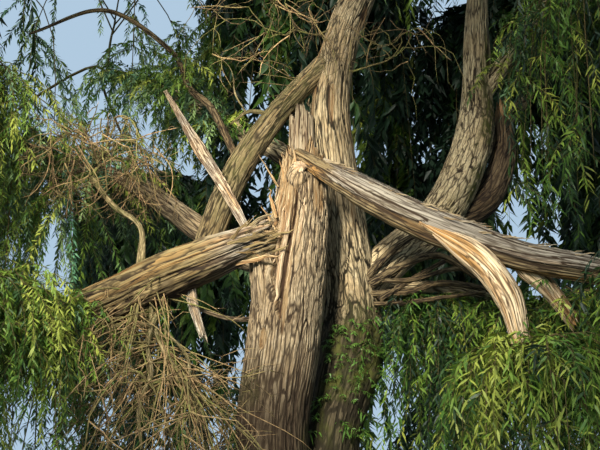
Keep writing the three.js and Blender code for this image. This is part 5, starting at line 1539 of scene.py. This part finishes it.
# Dead twigs, bare and tangled, straw-brown and moss-green, where the crown broke. Each mass grows on from
# its solid's twigs, in three ever finer orders of branching.


def wandering_lines(parents, count, shortest, longest, steps, wander, droop, rng):
    """Crooked side twigs that leave parent lines at a slant, with ever new turns."""
    which = rng.integers(0, len(parents), count)
    at = rng.uniform(0.12, 0.99, count) * (parents.shape[1] - 1)
    low = at.astype(int)
    step = parents[which, low + 1] - parents[which, low]
    seat, along = parents[which, low] + step * (at - low)[:, None], unit(step)
    aside = rng.normal(size=(count, 3))
    aside = unit(aside - along * (aside * along).sum(-1, keepdims=True))
    heading = unit(0.55 * along + 0.8 * aside)
    stride = (rng.uniform(shortest, longest, count) / (steps - 1))[:, None]
    places = [seat]
    for _ in range(steps - 1):
        places.append(places[-1] + heading * stride)
        heading = unit(heading + rng.normal(0, wander, (count, 3)) - np.array([0, 0, droop]))
    return np.stack(places, axis=1)


def sweeping_lines(seats, heading, spread, shortest, longest, droop, rng):
    """Long dead twigs that sweep out from their seats and hang in one curve."""
    count, along = len(seats), 9
    headings = unit(np.array(heading) + rng.normal(0, spread, (count, 3)))
    steps = np.linspace(0, 1, along)[None, :, None]
    long = rng.uniform(shortest, longest, count)[:, None, None]
    sway = rng.normal(0, 0.07, (count, 1, 3)) * np.sin(5 * steps + rng.uniform(0, 6, (count, 1, 1))) * steps
    lines = seats[:, None] + long * (headings[:, None] * steps - np.array([0, 0, droop]) * steps**2 + sway)
    lowest = 1.2 + 0.02 * np.arange(along)
    lines[..., 2] = np.maximum(lines[..., 2], lowest)
    return lines


def dead_material(name, light, dark, lichen):
    """Dead willow bark on thin twigs: dry and dull, mottled light and dark, with lichen in spots."""
    material, start = new_material(name)
    place = start.node("ShaderNodeTexCoord", {}, {}, output=3)
    mottle = place.mottle(26.0, 4.0)
    spots = place.mottle(7.0, 3.0)
    colour = mottle.eased(0.36, 0.6).tint(dark, light)
    colour = (spots.eased(0.5, 0.6) * 0.8).tint(colour, lichen)
    finish_material(start, colour, 0.8 + 0.15 * mottle, mottle, 0.004)
    return material


def crooked(lines, amount, rng):
    """Lines with ever new small turns, whose feet stay where they are."""
    turns = rng.normal(0, amount, lines.shape)
    turns[:, 0] = 0
    return lines + np.cumsum(turns, axis=1) * 0.6 + turns


dead_barks = [
    dead_material("dead_mossy", (0.18, 0.15, 0.055, 1), (0.09, 0.07, 0.03, 1), (0.16, 0.17, 0.045, 1)),
    dead_material("dead_brown", (0.19, 0.135, 0.062, 1), (0.07, 0.045, 0.022, 1), (0.17, 0.15, 0.05, 1)),
    dead_material("dead_straw", (0.33, 0.225, 0.11, 1), (0.15, 0.092, 0.042, 1), (0.25, 0.2, 0.08, 1)),
    dead_material("dead_dark", (0.08, 0.052, 0.028, 1), (0.03, 0.02, 0.012, 1), (0.07, 0.06, 0.025, 1)),
]
for name, many, stout in (
    ("dead_twigs_low", 80, 1.0),
    ("dead_twigs_left", 84, 0.8),
    ("dead_twigs_top", 20, 0.5),
    ("dead_twigs_right", 6, 0.5),
):
    rng = np.random.default_rng(900 + names.index(name))
    wide = reaches[names.index(name)]
    first, thick = grow_twigs(name, 5, many // 6, 0.011, 0.007)
    first = crooked(np.vstack([first, curve_through(stems[name])[None]]), 0.013, rng)
    thick = stout * np.vstack([thick, np.linspace(stem_radius, 0.012, twig_steps)[None]])
    second = wandering_lines(first, many, 0.6 * wide, 1.5 * wide, 9, 0.2, 0.03, rng)
    second = clipped(second, name, 0.015)
    third = wandering_lines(second, 3 * many, 0.25 * wide, 0.8 * wide, 7, 0.24, 0.02, rng)
    third = clipped(third, name, 0.01)
    fourth = wandering_lines(third, 5 * many, 0.1 * wide, 0.32 * wide, 5, 0.26, 0.0, rng)
    fourth = clipped(fourth, name, 0.006)
    for kind, lines, foot, tip, sides, material in (
        ("thick", first, 0, 0, 6, dead_barks[0]),
        ("side", second, 0.0062, 0.003, 5, dead_barks[2]),
        ("fine", third, 0.0038, 0.002, 4, dead_barks[1]),
        ("ends", fourth, 0.0026, 0.0015, 3, dead_barks[3]),
    ):
        radii = np.tile(np.linspace(foot, tip, lines.shape[1]), (len(lines), 1)) if foot else thick
        dress(joined_tubes(name + "_" + kind, lines, radii, sides), material, "dead_twigs", name)

# A thicket of long dead twigs sweeps down from the hanging branch and the left bough, in two tones, with
# short side twigs on them. It fills out the lowest of the four masses of dead twigs.
fan_rng = np.random.default_rng(888)
fan_seats = [
    smooth_line(limb_points["hanging_branch"], fan_rng.uniform(0.15, 1.0, 60))[0],
    smooth_line(limb_points["hanging_branch"], fan_rng.uniform(0.45, 1.0, 64))[0],
    smooth_line(limb_points["left_bough"], fan_rng.uniform(0.1, 0.62, 60))[0],
]
fans = np.vstack([
    sweeping_lines(fan_seats[0], (-0.8, -0.1, -0.25), 0.35, 0.5, 1.15, 0.45, fan_rng),
    sweeping_lines(fan_seats[1], (0.5, 0.0, -0.7), 0.35, 0.5, 1.3, 0.3, fan_rng),
    sweeping_lines(fan_seats[2], (0.15, -0.3, -0.7), 0.4, 0.4, 1.1, 0.35, fan_rng),
])
fan_sides = wandering_lines(fans, 420, 0.1, 0.35, 6, 0.2, 0.08, fan_rng)
for kind, lines, foot, tip, sides, material in (
    ("olive", fans[::2], 0.0085, 0.0025, 5, dead_barks[0]),
    ("straw", fans[1::2], 0.0065, 0.002, 5, dead_barks[2]),
    ("sides", fan_sides, 0.0026, 0.0015, 3, dead_barks[2]),
):
    clear = ~touches(lines[:, 2:], "left_bough", 0.01).any(-1)
    radii = np.tile(np.linspace(foot, tip, lines.shape[1]), (clear.sum(), 1))
    thicket = joined_tubes("thicket_" + kind, lines[clear], radii, sides)
    dress(thicket, material, "dead_twigs", "dead_twigs_low")

# The floor is a wide pale sheet, lit by a pale sky and a soft sun. A weak lamp warms the broken wood from
# the front and above, where the photograph's light comes from.
bpy.ops.object.select_all(action="DESELECT")
bpy.ops.mesh.primitive_plane_add(size=160)
floor = bpy.context.object
floor.name = "floor"
floor_material, floor_start = new_material("floor_pale")
patch = floor_start.node("ShaderNodeTexCoord", {}, {}, output=3).mottle(0.4, 3.0)
colour = patch.tint((0.44, 0.44, 0.42, 1), (0.5, 0.5, 0.48, 1))
surface = floor_start.node("ShaderNodeBsdfPrincipled", {}, {"Base Color": colour, "Roughness": 0.9})
floor_start.node("ShaderNodeOutputMaterial", {}, {"Surface": surface})
floor.data.materials.append(floor_material)

world = bpy.data.worlds.new("pale_sky")
world.use_nodes = True
world.node_tree.nodes["Background"].inputs["Color"].default_value = (0.46, 0.62, 0.78, 1)
world.node_tree.nodes["Background"].inputs["Strength"].default_value = 0.95
bpy.context.scene.world = world
bpy.context.scene.view_settings.view_transform = "Standard"
bpy.ops.object.light_add(type="SUN", rotation=(math.radians(50), 0, math.radians(-22)))
sun = bpy.context.object
sun.data.energy = 2.2
sun.data.angle = 0.08
sun.data.color = (1.0, 0.94, 0.84)
lamp_turn = (math.radians(81), 0, math.radians(-17))
bpy.ops.object.light_add(type="AREA", location=(-2.3, -7.1, 5.5), rotation=lamp_turn)
key = bpy.context.object
key.data.energy = 150
key.data.size = 1.2
key.data.color = (1.0, 0.92, 0.78)
key.data.spread = math.radians(52)
key.visible_camera = False
